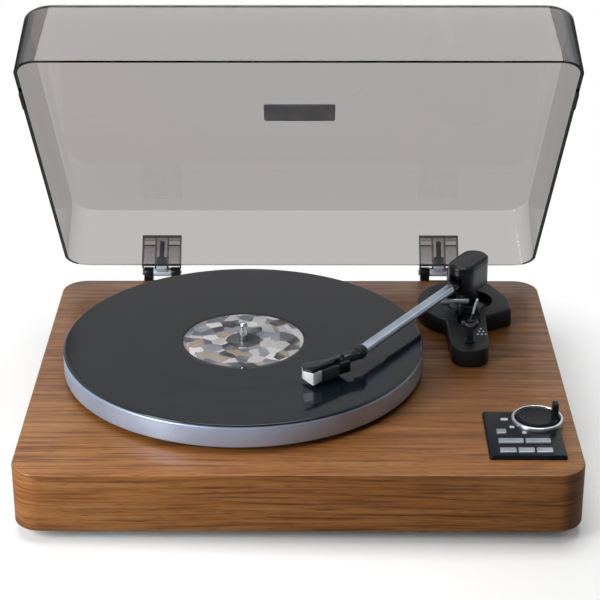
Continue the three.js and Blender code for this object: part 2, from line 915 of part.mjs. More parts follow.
// Cartridge body under the plate
function makeCartridge() {
  const half = headWidth / 2 - 0.6;
  return block([shellCheekEnd + gap, noseBack - gap], [-half, half], [headBottom + 1, headTop]);
}

// Pale stylus holder: a pointed nose whose underside rises towards its tip
function makeStylusHolder() {
  const half = headWidth / 2;
  const shape = new THREE.Shape();
  shape.moveTo(noseBack, -half);
  shape.lineTo(noseFront, -half);
  shape.lineTo(noseFront + headPoint, 0);
  shape.lineTo(noseFront, half);
  shape.lineTo(noseBack, half);
  shape.closePath();
  const rise = Math.atan2(nosePointBottom - headBottom, headPoint);
  const underFront = toSolid(new THREE.BoxGeometry(30, 30, 10)
    .translate(0, 0, -5)
    .rotateY(-rise)
    .translate(noseFront, 0, headBottom));
  const underBack = toSolid(new THREE.BoxGeometry(30, 30, 10)
    .translate(0, 0, -5)
    .rotateY(degrees(14))
    .translate(noseFront - 1, 0, headBottom));
  return cut(prism(shape, [headBottom, headTop]), underFront, underBack);
}

// Cantilever and tip, reaching down to the groove
function makeStylus() {
  const tipX = noseFront - stylusSetback;
  const tip = recordTop + stylusLift;
  const arm = rod(0.45, [tipX - 6, 0, headBottom - gap - 0.5], [tipX, 0, tip + 0.8], 10);
  const point = turned([[0, 0], [0.45, 0.8], [0.45, 1.3], [0, 1.5]], 10).translate([tipX, 0, tip]);
  return join(arm, point);
}

// Thin finger lift over the shell: it rises from a foot at the rear and runs out over the nose
function makeFingerLift() {
  const seat = plateTop + 2 * gap;
  const rise = seat + 1.6;
  const route = new THREE.CatmullRomCurve3([
    new THREE.Vector3(20, 2.6, rise),
    new THREE.Vector3(30, 3.4, rise),
    new THREE.Vector3(noseFront - 5, 6, rise),
    new THREE.Vector3(noseFront + headPoint + 2, 5, rise + 1),
  ]);
  const section = new THREE.Shape();
  section.absellipse(0, 0, 0.6, 1.6, 0, Math.PI * 2);
  const strip = new THREE.ExtrudeGeometry(section, { steps: 8, extrudePath: route, curveSegments: 5 });
  const foot = block([19, 23.5], [0.8, 3.8], [seat, rise + 0.5]);
  return join(toSolid(strip), foot);
}

// ---- Control panel --------------------------------------------------------------------------

// The ends of equal buttons that share a row's width
function equalEnds(count) {
  const width = (buttonRowWidth - (count - 1) * buttonSpacing) / count;
  return Array.from({ length: count }, (_, place) => {
    const left = buttonsLeft + place * (width + buttonSpacing);
    return [left, left + width];
  });
}

const buttonRows = [
  {
    y: buttonsFront,
    names: ['button_small_left', 'button_small_middle', 'button_small_right'],
    ends: equalEnds(3),
  },
  {
    y: buttonsFront + buttonRowPitch,
    names: ['button_wide_left', 'button_wide_right'],
    ends: equalEnds(2),
  },
  {
    y: buttonsFront + 2 * buttonRowPitch,
    names: ['button_square'],
    ends: [[buttonsLeft, buttonsLeft + squareButtonWidth]],
  },
];

const tubBottom = -deckThickness;
const boardTop = tubBottom - gap;

function buttonBox([x0, x1], y, grow, [z0, z1]) {
  return block([x0 - grow, x1 + grow], [y - buttonDepth / 2 - grow, y + buttonDepth / 2 + grow], [z0, z1]);
}

// Raised plate over a tub through the deck, with holes for the buttons and the selector
function makePanel() {
  const centreX = (panelLeft + panelRight) / 2;
  const centreY = (panelFront + panelBack) / 2;
  const outline = (inset, z) => ring(
    [panelLeft + inset, panelRight - inset],
    [panelFront + inset, panelBack - inset],
    1.5,
    z,
    smallCornerSteps,
  );
  const plate = lofted([outline(0, gap), outline(0, panelHeight - 1.4), outline(1.4, panelHeight)]);
  const seat = selectorRadius + gap;
  const ringHole = post(seat, [gap / 2, panelHeight + 1], [selectorX, selectorY], middleSides);
  const corner = block([selectorX, panelRight + 1], [selectorY, panelBack + 1], [gap / 2, panelHeight + 1]);
  const tub = prism(
    roundedRectangle(
      panelRight - panelLeft - 2 * panelTubInset,
      panelBack - panelFront - 2 * panelTubInset,
      1,
      centreX,
      centreY,
    ),
    [tubBottom, gap],
  );
  const shaftHole = post(selectorShaftRadius + gap, [tubBottom - 1, gap + 1], [selectorX, selectorY]);
  const holes = buttonRows.flatMap((row) => row.ends.map(
    (ends) => buttonBox(ends, row.y, gap, [tubBottom - 1, panelHeight + 1]),
  ));
  return cut(join(cut(plate, ringHole, corner), tub), shaftHole, ...holes);
}

// One push button with softened top edges
function makeButton(ends, y) {
  const yEnds = [y - buttonDepth / 2, y + buttonDepth / 2];
  const level = (inset, z) => ring(
    [ends[0] + inset, ends[1] - inset],
    [yEnds[0] + inset, yEnds[1] - inset],
    0.7,
    z,
    smallCornerSteps,
  );
  return lofted([level(0, buttonBottom), level(0, buttonTop - 0.5), level(0.5, buttonTop)]);
}

function makeSelectorRing() {
  const inside = selectorRadius - selectorBand;
  return turned([
    [inside, gap * 2],
    [selectorRadius, gap * 2],
    [selectorRadius, selectorTop - 1],
    [selectorRadius - 1, selectorTop],
    [inside + 0.6, selectorTop],
    [inside, selectorTop - 0.6],
  ], middleSides);
}

// Selector disc with a finger tab, on a shaft down to the board
function makeSelectorDial() {
  const radius = selectorRadius - selectorBand - gap;
  const disc = turned([
    [0, gap * 2],
    [radius, gap * 2],
    [radius, selectorTop - 0.6],
    [radius - 1.2, selectorTop + 0.5],
    [0, selectorTop + 0.9],
  ], middleSides);
  const shaft = post(selectorShaftRadius, [buttonBottom, gap * 3]);
  const finRight = radius - finInset;
  const fin = block(
    [finRight - finThickness, finRight],
    [-finWidth / 2, finWidth / 2],
    [selectorTop - 1.2, finHeight],
  );
  return join(disc, shaft, fin);
}

function makeBoard() {
  return block(
    [panelLeft + panelTubInset, panelRight - panelTubInset],
    [panelFront + panelTubInset, panelBack - panelTubInset],
    [boardTop - boardThickness, boardTop],
  );
}

// ---- Dust cover -----------------------------------------------------------------------------

const rimBack = -hingeBehindCase - lidSetback;
const rimBottom = lidClosedGap - hingeHeight;
const rimFront = rimBack - lidDepth;
const lidTop = rimBottom + lidHeight;

// One level of the cover's skin, offset inward, at a share of its height
function lidRing(share, inset, z) {
  const side = lidWidth / 2 - lidSideDraft * share - inset;
  const front = rimFront + lidFrontDraft * share + inset;
  const back = rimBack - lidBackDraft * share - inset;
  const radius = lidCornerRadius + (lidTopCornerRadius - lidCornerRadius) * share - inset;
  return ring([-side, side], [front, back], Math.max(radius, 2), z);
}

function lidSkin(inset, bottom, top, edge) {
  const share = (z) => (z - rimBottom) / lidHeight;
  const levels = [lidRing(share(bottom), inset, bottom), lidRing(share(top - edge), inset, top - edge)];
  [30, 60, 90].forEach((angle) => {
    const z = top - edge + edge * Math.sin(degrees(angle));
    levels.push(lidRing(share(z), inset + edge * (1 - Math.cos(degrees(angle))), z));
  });
  return lofted(levels);
}

// The block that each hinge leaf plugs into, moulded on the cover's back wall
function socketBlock(x) {
  return block(
    [x - socketHalfWidth, x + socketHalfWidth],
    [rimBack - lidWall / 2 - lidBackDraft, rimBack + socketDepth],
    [rimBottom, rimBottom + socketHeight],
  );
}

const pocketHalf = 4.9;
const pocketShelf = 20;

// Three pockets open below, and two windows above the side ones
function socketPockets(x) {
  const near = rimBack + socketWall;
  const far = rimBack + socketDepth - socketWall;
  const sideInner = pocketHalf + socketWall;
  const sideOuter = socketHalfWidth - socketWall;
  const below = rimBottom - 1;
  const roof = rimBottom + socketHeight - socketWall;
  const sides = [[x - sideOuter, x - sideInner], [x + sideInner, x + sideOuter]];
  const middle = block([x - pocketHalf, x + pocketHalf], [near, far], [below, roof]);
  const lower = sides.map((span) => block(span, [near, far], [below, rimBottom + pocketShelf]));
  const upper = sides.map((span) => block(
    span,
    [near, rimBack + socketDepth + 1],
    [rimBottom + pocketShelf + socketWall, roof],
  ));
  return [middle, ...lower, ...upper];
}

function makeDustCover() {
  const outer = lidSkin(0, rimBottom, lidTop, lidEdgeRadius);
  const inner = lidSkin(lidWall, rimBottom - 1, lidTop - lidWall, lidEdgeRadius / 2);
  const sockets = [-hingeX, hingeX].map(socketBlock);
  const pockets = [-hingeX, hingeX].flatMap(socketPockets);
  return cut(join(outer, ...sockets), inner, ...pockets);
}

// Small blank plate on top of the cover
function makeLidBadge() {
  const back = -badgeFromBack;
  return prism(
    roundedRectangle(badgeWidth, badgeDepth, 2, 0, back - badgeDepth / 2),
    [lidTop + gap, lidTop + gap + badgeThickness],
  );
}

// Rubber pad under the cover's side rim
function makeBumper(side) {
  const x = side * (lidWidth / 2 - lidWall / 2);
  const half = lidWall / 2 - 0.2;
  const front = rimFront + bumperFromFront;
  const bottom = rimBottom - lidClosedGap + gap;
  return block([x - half, x + half], [front, front + bumperLength], [bottom, rimBottom - gap]);
}

// ---- Hinges ---------------------------------------------------------------------------------

// Fixed bracket on the back of the case: a plate, and two ears round the pin
function makeHingeBracket() {
  const half = hingeWidth / 2;
  const plateFront = -hingeBehindCase + gap;
  const top = -hingeHeight - 1;
  const plate = block([-half, half], [plateFront, plateFront + bracketPlate], [-bracketDrop, top]);
  const ears = [-half, half - hingeEar].map((x) => {
    const eye = rod(hingeEarRadius, [x, 0, 0], [x + hingeEar, 0, 0]);
    const stem = block([x, x + hingeEar], [-hingeEarRadius, hingeEarRadius], [top - 9, 0]);
    const foot = block([x, x + hingeEar], [plateFront, hingeEarRadius], [top - 9, top]);
    return join(eye, stem, foot);
  });
  const bore = rod(hingePinRadius + gap, [-half - 1, 0, 0], [half + 1, 0, 0]);
  return cut(join(plate, ...ears), bore);
}

function makeHingePin() {
  const half = hingeWidth / 2;
  const shank = rod(hingePinRadius, [-half - gap, 0, 0], [half + 1, 0, 0]);
  const headDisc = rod(hingePinRadius + 1.4, [-half - gap - 1.2, 0, 0], [-half - gap, 0, 0]);
  return join(shank, headDisc);
}

// Moving leaf: a knuckle on the pin, a web, and a tongue up into the cover's socket
function makeHingeLeaf() {
  const half = pocketHalf - gap;
  const knuckleHalf = hingeWidth / 2 - hingeEar - gap;
  const tongueNear = rimBack + socketWall + 0.6;
  const webTop = rimBottom - gap;
  const knuckle = rod(hingeEarRadius - 0.5, [-knuckleHalf, 0, 0], [knuckleHalf, 0, 0]);
  const web = block([-half, half], [tongueNear, 0], [webTop - leafThickness, webTop]);
  const tongue = block(
    [-half, half],
    [tongueNear, tongueNear + leafThickness],
    [webTop - leafThickness, rimBottom + socketHeight - socketWall - 3],
  );
  const bore = rod(hingePinRadius + gap, [-hingeWidth, 0, 0], [hingeWidth, 0, 0]);
  return cut(join(knuckle, web, tongue), bore);
}

function addHinges() {
  Object.entries({ left: -hingeX, right: hingeX }).forEach(([side, x]) => {
    const fixed = new THREE.Group();
    fixed.position.set(x, caseDepth / 2 + hingeBehindCase, hingeHeight);
    deck.add(fixed);
    add(fixed, `hinge_bracket_${side}`, makeHingeBracket(), 'blackPlastic');
    add(fixed, `hinge_pin_${side}`, makeHingePin(), 'steel');
    const moving = new THREE.Group();
    moving.position.x = x;
    cover.add(moving);
    add(moving, `hinge_leaf_${side}`, makeHingeLeaf(), 'steel');
  });
}

// ---- Rear connectors ------------------------------------------------------------------------

const rearPanelMiddle = (rearPanelTop + rearPanelBottom) / 2;
const rearFaceInside = rearPanelBack - rearPanelDepth;
const jackPlaces = { left: rearPanelX + 30, right: rearPanelX + 30 - jackPitch };
const socketX = rearPanelX - 32;
const switchX = rearPanelX - 12;

function makeRearPanel() {
  const half = rearPanelWidth / 2;
  const plate = block(
    [rearPanelX - half, rearPanelX + half],
    [rearFaceInside, rearPanelBack],
    [rearPanelBottom, rearPanelTop],
  );
  const through = [rearFaceInside - 1, rearPanelBack + 1];
  const jackHoles = Object.values(jackPlaces).map((x) => rod(
    jackRadius + gap,
    [x, through[0], rearPanelMiddle],
    [x, through[1], rearPanelMiddle],
  ));
  const socketHole = rod(
    powerSocketSize / 2 + gap,
    [socketX, through[0], rearPanelMiddle],
    [socketX, through[1], rearPanelMiddle],
  );
  const slot = block(
    [switchX - switchKnob / 2 - gap, switchX + switchKnob / 2 + switchTravel + gap],
    through,
    [rearPanelMiddle - 2 - gap, rearPanelMiddle + 2 + gap],
  );
  return cut(plate, ...jackHoles, socketHole, slot);
}

// Phono jack: a sleeve through the panel, a flange inside it, and a bore for the plug's pin
function makeJack(x) {
  const axis = (radius, y0, y1) => rod(radius, [x, y0, rearPanelMiddle], [x, y1, rearPanelMiddle]);
  const sleeve = axis(jackRadius, rearFaceInside - 6, rearPanelBack + jackLength);
  const flange = axis(jackRadius + 2.4, rearFaceInside - 2.3, rearFaceInside - gap);
  const bore = axis(jackBore, rearPanelBack - 1, rearPanelBack + jackLength + 1);
  return cut(join(sleeve, flange), bore);
}

// Round power inlet, flush with the panel
function makePowerSocket() {
  const axis = (radius, y0, y1) => rod(
    radius,
    [socketX, y0, rearPanelMiddle],
    [socketX, y1, rearPanelMiddle],
  );
  const barrel = axis(powerSocketSize / 2, rearFaceInside - 12, rearPanelBack);
  const flange = axis(powerSocketSize / 2 + 2, rearFaceInside - 2.3, rearFaceInside - gap);
  return cut(join(barrel, flange), axis(powerSocketBore, rearPanelBack - 9, rearPanelBack + 1));
}

// Slide switch knob with a carrier behind the panel
function makeOutputSwitch() {
  const half = switchKnob / 2;
  const knob = block(
    [switchX - half, switchX + half],
    [rearFaceInside - 2, rearPanelBack + 2.5],
    [rearPanelMiddle - 2, rearPanelMiddle + 2],
  );
  const carrier = block(
    [switchX - half - 2, switchX + half + 2],
    [rearFaceInside - 3, rearFaceInside - gap],
    [rearPanelMiddle - 4, rearPanelMiddle + 4],
  );
  return join(knob, carrier);
}

// ---- The assembly ---------------------------------------------------------------------------

add(deck, 'plinth_case', makeCase(), 'walnut');
add(deck, 'bottom_cover', makeBottomCover(), 'fibreboard');
addFeet();

add(platterAxis, 'platter', makePlatter(), 'aluminium');
add(platterAxis, 'inner_platter', makeInnerPlatter(), 'blackPlastic');
add(platterAxis, 'slip_mat', makeMat(), 'rubber');
add(platterAxis, 'record', makeRecord(), 'vinyl');
add(platterAxis, 'record_label', makeLabel(), 'paper');
add(platterAxis, 'spindle', makeSpindle(), 'chrome');
add(platterAxis, 'bearing_housing', makeBearing(), 'brass');
add(platterAxis, 'drive_belt', makeBelt(), 'rubber');
add(motorAxis, 'drive_motor', makeMotor(), 'steel');
add(motorAxis, 'motor_plate', makeMotorPlate(), 'steel');
add(motorAxis, 'motor_pulley', makePulley(), 'brass');

add(armBase, 'arm_base', makeArmBase(), 'blackPlastic');
add(armBase, 'arm_post', makeArmPost(), 'blackPlastic');
const restSpot = new THREE.Group();
restSpot.position.set(restX, restY, 0);
armBase.add(restSpot);
add(restSpot, 'arm_rest', makeArmRest(), 'blackPlastic');
add(armBase, 'lift_bar', makeLiftBar(), 'silverPlastic');
const leverSpot = new THREE.Group();
leverSpot.position.set(0, leverY, leverHeight);
armBase.add(leverSpot);
add(leverSpot, 'cue_lever', makeCueLever(), 'chrome');

add(arm, 'arm_housing', makeHousing(), 'blackPlastic');
add(arm, 'arm_housing_cap', makeHousingCap(), 'blackPlastic');
add(arm, 'arm_turning_shaft', makeYawShaft(), 'steel');
add(arm, 'arm_yoke', makeYoke(), 'blackPlastic');
add(arm, 'arm_axle', makeAxle(), 'steel');
add(arm, 'counterweight', makeCounterweight(), 'steel');
add(arm, 'arm_tube', makeTube(), 'armAluminium');
add(arm, 'headshell_collar', makeCollar(), 'blackPlastic');
add(head, 'headshell', makeHeadshell(), 'blackPlastic');
add(head, 'cartridge', makeCartridge(), 'glossBlack');
add(head, 'stylus_holder', makeStylusHolder(), 'whitePlastic');
add(head, 'stylus', makeStylus(), 'aluminium');
add(head, 'finger_lift', makeFingerLift(), 'glossBlack');

add(deck, 'control_panel', makePanel(), 'glossBlack');
buttonRows.forEach((row) => row.names.forEach((name, place) => {
  add(deck, name, makeButton(row.ends[place], row.y), 'silverPlastic');
}));
const selectorSpot = new THREE.Group();
selectorSpot.position.set(selectorX, selectorY, 0);
deck.add(selectorSpot);
add(selectorSpot, 'selector_ring', makeSelectorRing(), 'silverPlastic');
add(selectorSpot, 'selector_dial', makeSelectorDial(), 'glossBlack');
add(deck, 'control_board', makeBoard(), 'circuit');

add(cover, 'dust_cover', makeDustCover(), 'smokedAcrylic');
add(cover, 'lid_badge', makeLidBadge(), 'steel');
add(cover, 'lid_bumper_left', makeBumper(-1), 'rubber');
add(cover, 'lid_bumper_right', makeBumper(1), 'rubber');
addHinges();

add(deck, 'rear_panel', makeRearPanel(), 'blackPlastic');
add(deck, 'signal_jack_left', makeJack(jackPlaces.left), 'brass');
add(deck, 'signal_jack_right', makeJack(jackPlaces.right), 'brass');
add(deck, 'power_socket', makePowerSocket(), 'blackPlastic');
add(deck, 'output_switch', makeOutputSwitch(), 'blackPlastic');

// The part's origin: under the middle of its box, on the surface that it stands on
recordPlayer.updateMatrixWorld(true);
const extent = new THREE.Box3().setFromObject(recordPlayer, true);
const middle = extent.getCenter(new THREE.Vector3());
recordPlayer.position.set(-middle.x, -middle.y, -extent.min.z);

export default recordPlayer;
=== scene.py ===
"""Looks of a belt-drive record player with a hinged, smoked dust cover.

Every sub-assembly is a class that holds its sizes in millimetres, builds its meshes from numpy
surfaces and dresses them. Local places are counted from the deck, the top surface of the case.
"""

from __future__ import annotations

import json
import logging
import math
from dataclasses import dataclass, field
from enum import Enum
from typing import Sequence

import bmesh
import bpy
import numpy as np
from mathutils import Matrix, Vector

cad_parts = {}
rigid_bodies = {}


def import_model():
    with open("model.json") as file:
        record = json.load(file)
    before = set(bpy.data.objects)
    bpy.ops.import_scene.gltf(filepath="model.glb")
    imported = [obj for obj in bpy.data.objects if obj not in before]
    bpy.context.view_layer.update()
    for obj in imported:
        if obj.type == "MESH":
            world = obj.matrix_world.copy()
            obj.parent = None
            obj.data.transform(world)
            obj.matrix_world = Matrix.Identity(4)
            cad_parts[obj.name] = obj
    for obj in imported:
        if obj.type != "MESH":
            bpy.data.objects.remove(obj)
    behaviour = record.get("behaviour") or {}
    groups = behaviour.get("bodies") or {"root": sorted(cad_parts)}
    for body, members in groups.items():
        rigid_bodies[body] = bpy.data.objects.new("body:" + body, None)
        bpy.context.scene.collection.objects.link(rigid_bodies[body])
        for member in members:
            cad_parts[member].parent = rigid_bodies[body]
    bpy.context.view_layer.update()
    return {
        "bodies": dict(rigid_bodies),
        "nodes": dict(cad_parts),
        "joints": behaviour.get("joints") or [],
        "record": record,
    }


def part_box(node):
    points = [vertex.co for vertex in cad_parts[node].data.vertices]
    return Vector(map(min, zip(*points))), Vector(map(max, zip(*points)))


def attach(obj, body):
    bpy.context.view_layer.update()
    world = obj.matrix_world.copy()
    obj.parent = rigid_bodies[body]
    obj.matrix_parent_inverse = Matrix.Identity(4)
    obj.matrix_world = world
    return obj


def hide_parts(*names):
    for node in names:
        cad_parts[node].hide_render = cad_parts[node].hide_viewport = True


Array = np.ndarray
Colour = tuple[float, float, float]
Point = tuple[float, float, float]
Pair = tuple[float, float]
Solid = bpy.types.Object
Socket = bpy.types.NodeSocket

LOG = logging.getLogger("record_player")

# Millimetres in a metre, the clearance between neighbours, and the two upright axes on the deck.
PER_METRE = 1000.0
GAP = 0.3
SPINDLE: Pair = (-47.0, 3.7)
PIVOT: Pair = (148.6, 102.0)

# Points closer than this, in metres, are one point, and faces that meet below this angle are one face.
WELD = 2e-6
FLAT_DEGREES = 0.6

# How far a cutting solid reaches past what it cuts.
OVER = 1.0

# Share of half a square's side that rounds it to a circle, with a sliver of each side left.
FULL_ROUND = 0.999

# Angles, in degrees, above which an edge is bevelled, or stays crisp on plain and on turned pieces.
BEVEL_DEGREES = 38.0
SHARP = 32.0
SMOOTH = 50.0

WHITE: Colour = (1.0, 1.0, 1.0)


class Body(Enum):
    """The moving bodies that pieces ride on."""

    CASE = "case"
    PLATTER = "platter_assembly"
    TURRET = "arm_turret"
    TONEARM = "tonearm"
    LIFT = "lift"
    LEVER = "lever"
    SELECTOR = "selector"
    COVER = "cover"
    SWITCH = "switch_knob"
    SMALL_LEFT = "small_left_key"
    SMALL_MIDDLE = "small_middle_key"
    SMALL_RIGHT = "small_right_key"
    WIDE_LEFT = "wide_left_key"
    WIDE_RIGHT = "wide_right_key"
    SQUARE = "square_key"


class Slot(Enum):
    """The material slots of the record."""

    WALNUT = "walnut"
    FIBREBOARD = "fibreboard"
    RUBBER = "rubber"
    BLACK_PLASTIC = "black_plastic"
    GLOSS_BLACK = "gloss_black"
    VINYL = "vinyl"
    PAPER = "paper"
    ALUMINIUM = "aluminium"
    ARM_ALUMINIUM = "arm_aluminium"
    CHROME = "chrome"
    STEEL = "steel"
    SILVER_PLASTIC = "silver_plastic"
    WHITE_PLASTIC = "white_plastic"
    BRASS = "brass"
    CIRCUIT = "circuit"
    SMOKED_ACRYLIC = "smoked_acrylic"


class Carve(Enum):
    """How one solid works on another."""

    CUT = "DIFFERENCE"
    JOIN = "UNION"


# ---- Frames ----


def turn_about(axis: str, degrees: float) -> Array:
    """Gives the 3 by 3 turn about a named axis by the right-hand rule."""
    return np.array(Matrix.Rotation(math.radians(degrees), 3, axis.upper()))


def added(name: str, data: bpy.types.ID) -> Solid:
    """Adds an object to the scene, with its place left at the origin.

    Args:
        name: The object's name.
        data: Its mesh, light or camera.

    Returns:
        The object.
    """
    made = bpy.data.objects.new(name, data)
    bpy.context.scene.collection.objects.link(made)
    return made


@dataclass(frozen=True)
class Frame:
    """A local frame: its origin in row-frame millimetres, and its turn."""

    origin: Array
    turn: Array

    def row(self, points: Array) -> Array:
        """Carries local millimetres into row-frame metres: (turn * point + origin) / 1000."""
        return (np.asarray(points, float) @ self.turn.T + self.origin) / PER_METRE

    def child(self, offset: Point, turn: Array | None = None) -> Frame:
        """Gives a frame set on this one: moved by an offset, and turned or with the same directions."""
        own = np.eye(3) if turn is None else turn
        return Frame(self.origin + self.turn @ np.array(offset, float), self.turn @ own)


# ---- Surfaces ----


@dataclass
class Surface:
    """A mesh in local millimetres: its points, and its faces as arrays of equal-sized faces."""

    points: Array
    faces: list[Array]

    def laid(self, order: Sequence[int], shift: Point) -> Surface:
        """Gives the surface with its three coordinates in another order, then moved."""
        return Surface(self.points[:, order] + np.array(shift), self.faces)


def grid_faces(rows: int, columns: int, wrap_rows: bool, wrap_columns: bool) -> Array:
    """Gives the quads of a grid: face (i, j) joins points (i, j), (i, j+1), (i+1, j+1), (i+1, j).

    Args:
        rows: Number of rows of points.
        columns: Number of points in a row.
        wrap_rows: Whether the last row joins the first.
        wrap_columns: Whether each row closes on itself.

    Returns:
        An array of shape (faces, 4) of point numbers.
    """
    i = np.arange(rows if wrap_rows else rows - 1)[:, None]
    j = np.arange(columns if wrap_columns else columns - 1)[None, :]
    below = (i + 1) % rows
    beside = (j + 1) % columns
    corners = (i * columns + j, i * columns + beside, below * columns + beside, below * columns + j)
    return np.stack([np.broadcast_to(c, (i.size, j.size)) for c in corners], -1).reshape(-1, 4)


def loft(rings: Array, capped: bool = True, closed: bool = False) -> Surface:
    """Makes a skin through closed rings, point (i, j) being point j of ring i.

    Args:
        rings: Array of shape (rings, points, 3).
        capped: Whether the first and last rings are closed by flat faces.
        closed: Whether the last ring joins the first, as in a tube bent to a circle.

    Returns:
        The surface.
    """
    count, around = rings.shape[:2]
    faces = [grid_faces(count, around, closed, True)]
    if capped and not closed:
        first = np.arange(around)[None, ::-1]
        last = (count - 1) * around + np.arange(around)[None, :]
        faces += [first, last]
    return Surface(rings.reshape(-1, 3), faces)


def fillet(corners: Array, radii: Array | float, steps: int = 6, closed: bool = True) -> Array:
    """Rounds the corners of a flat outline with true arcs.

    Each arc is the conic ((1-t)^2 A + 2t(1-t) w C + t^2 B) / ((1-t)^2 + 2t(1-t) w + t^2), where C is
    the corner, A and B are its tangent points and w is the sine of half the corner's inner angle.

    Args:
        corners: Array of shape (corners, 2).
        radii: One radius for each corner, or one for all.
        steps: Steps along each arc.
        closed: Whether the outline closes on itself; if not, its two ends stay sharp.

    Returns:
        Array of shape (corners * (steps + 1), 2).
    """
    corners = np.asarray(corners, float)
    radius = np.broadcast_to(np.asarray(radii, float), (len(corners),)).copy()
    before = np.roll(corners, 1, 0) - corners
    after = np.roll(corners, -1, 0) - corners
    if not closed:
        radius[0] = radius[-1] = 0.0
        before[0] = -after[0]
        after[-1] = -before[-1]
    before /= np.maximum(np.linalg.norm(before, axis=1), 1e-9)[:, None]
    after /= np.maximum(np.linalg.norm(after, axis=1), 1e-9)[:, None]
    half = np.arccos(np.clip((before * after).sum(1), -1, 1)) / 2
    reach = radius / np.maximum(np.tan(half), 1e-6)
    start = corners + before * reach[:, None]
    end = corners + after * reach[:, None]
    weight = np.sin(half)[:, None, None]
    t = np.linspace(0, 1, steps + 1)[None, :, None]
    top = (1 - t) ** 2 * start[:, None] + 2 * t * (1 - t) * weight * corners[:, None] + t**2 * end[:, None]
    return (top / ((1 - t) ** 2 + 2 * t * (1 - t) * weight + t**2)).reshape(-1, 2)


def inset(corners: Array, distance: float) -> Array:
    """Moves each side of a counterclockwise outline inward by a distance.

    A corner goes to C + d (n1 + n2) / (1 + n1.n2), with n1 and n2 the inward normals beside it.

    Args:
        corners: Array of shape (corners, 2).
        distance: Distance inward, in millimetres.

    Returns:
        The moved corners.
    """
    side = np.roll(corners, -1, 0) - corners
    side /= np.linalg.norm(side, axis=1)[:, None]
    normal = np.stack([-side[:, 1], side[:, 0]], 1)
    other = np.roll(normal, 1, 0)
    share = 1 + (normal * other).sum(1)
    return corners + distance * (normal + other) / share[:, None]


def rectangle(x: Pair, y: Pair) -> Array:
    """Gives the four corners of a rectangle, counterclockwise."""
    return np.array([[x[0], y[0]], [x[1], y[0]], [x[1], y[1]], [x[0], y[1]]], float)


@dataclass(frozen=True)
class Prism:
    """An upright solid of a flat outline, with rounded corners and softened top and bottom edges."""

    corners: Array
    radii: Array | float
    bottom: float
    top: float
    top_edge: float = 0.0
    bottom_edge: float = 0.0
    steps: int = 6
    edge_steps: int = 4

    def surface(self) -> Surface:
        """Stacks levels: near an edge of radius r the outline is inset by r (1 - cos a) at r (1 - sin a).

        Returns:
            The surface.
        """
        turn = np.linspace(0, math.pi / 2, self.edge_steps + 1)
        shares = [(1 - math.sin(a), 1 - math.cos(a)) for a in turn]
        low = [(self.bottom_edge * sine, self.bottom + self.bottom_edge * cosine) for sine, cosine in shares]
        high = [(self.top_edge * cosine, self.top - self.top_edge * sine) for sine, cosine in shares]
        levels = (low if self.bottom_edge else low[-1:]) + (high if self.top_edge else high[:1])
        return self.stack(levels)

    def stack(self, levels: Sequence[Pair]) -> Surface:
        """Makes the solid of the outline at several levels of (inset, height)."""
        return loft(np.stack([self.ring(distance, height) for distance, height in levels]))

    def ring(self, distance: float, height: float) -> Array:
        """Gives one level of the outline.

        Args:
            distance: How far the outline is inset, in millimetres.
            height: Height of the level.

        Returns:
            Array of shape (points, 3).
        """
        radii = np.maximum(np.broadcast_to(self.radii, (len(self.corners),)) - distance, 0.02)
        flat = fillet(inset(self.corners, distance), radii, self.steps)
        return np.column_stack([flat, np.full(len(flat), height)])


def block(x: Pair, y: Pair, z: Pair, edge: float = 0.0) -> Surface:
    """Makes a box from its limits, with all its edges softened by one radius."""
    return Prism(rectangle(x, y), edge, z[0], z[1], edge, edge, 3 if edge else 1, 3).surface()


def drum(radius: float, low: float, high: float, spot: Pair = (0.0, 0.0), steps: int = 14) -> Surface:
    """Makes an upright cylinder between two heights: a square with its corners rounded until they meet."""
    square = rectangle((spot[0] - radius, spot[0] + radius), (spot[1] - radius, spot[1] + radius))
    return Prism(square, radius * FULL_ROUND, low, high, steps=steps).surface()


def lathe(profile: Array, segments: int = 96, closed: bool = False) -> Surface:
    """Turns a profile of (radius, height) about Z: point (i, j) is (r_i cos a_j, r_i sin a_j, h_i).

    Args:
        profile: Array of shape (points, 2), from the bottom up on the outside.
        segments: Number of steps round the axis.
        closed: Whether the profile closes on itself, as a ring's does.

    Returns:
        The surface; points on the axis are merged when the piece is finished.
    """
    angle = np.arange(segments) * 2 * math.pi / segments
    radius = profile[:, :1]
    height = np.broadcast_to(profile[:, 1:], (len(profile), segments))
    rings = np.stack([radius * np.cos(angle), radius * np.sin(angle), height], -1)
    return loft(rings, capped=False, closed=closed)


def smooth_path(points: Array, samples: int) -> Array:
    """Runs a Catmull-Rom curve through points: on each span p(t) = (1, t, t^2, t^3) M (p0..p3).

    Args:
        points: Array of shape (points, 3).
        samples: Number of points on the curve.

    Returns:
        Array of shape (samples, 3).
    """
    points = np.asarray(points, float)
    padded = np.vstack([2 * points[0] - points[1], points, 2 * points[-1] - points[-2]])
    place = np.linspace(0, len(points) - 1 - 1e-9, samples)
    span = place.astype(int)
    t = (place - span)[:, None]
    p0, p1, p2, p3 = (padded[span + k] for k in range(4))
    square, cube = 2 * p0 - 5 * p1 + 4 * p2 - p3, 3 * p1 - p0 - 3 * p2 + p3
    return 0.5 * (2 * p1 + (p2 - p0) * t + square * t**2 + cube * t**3)


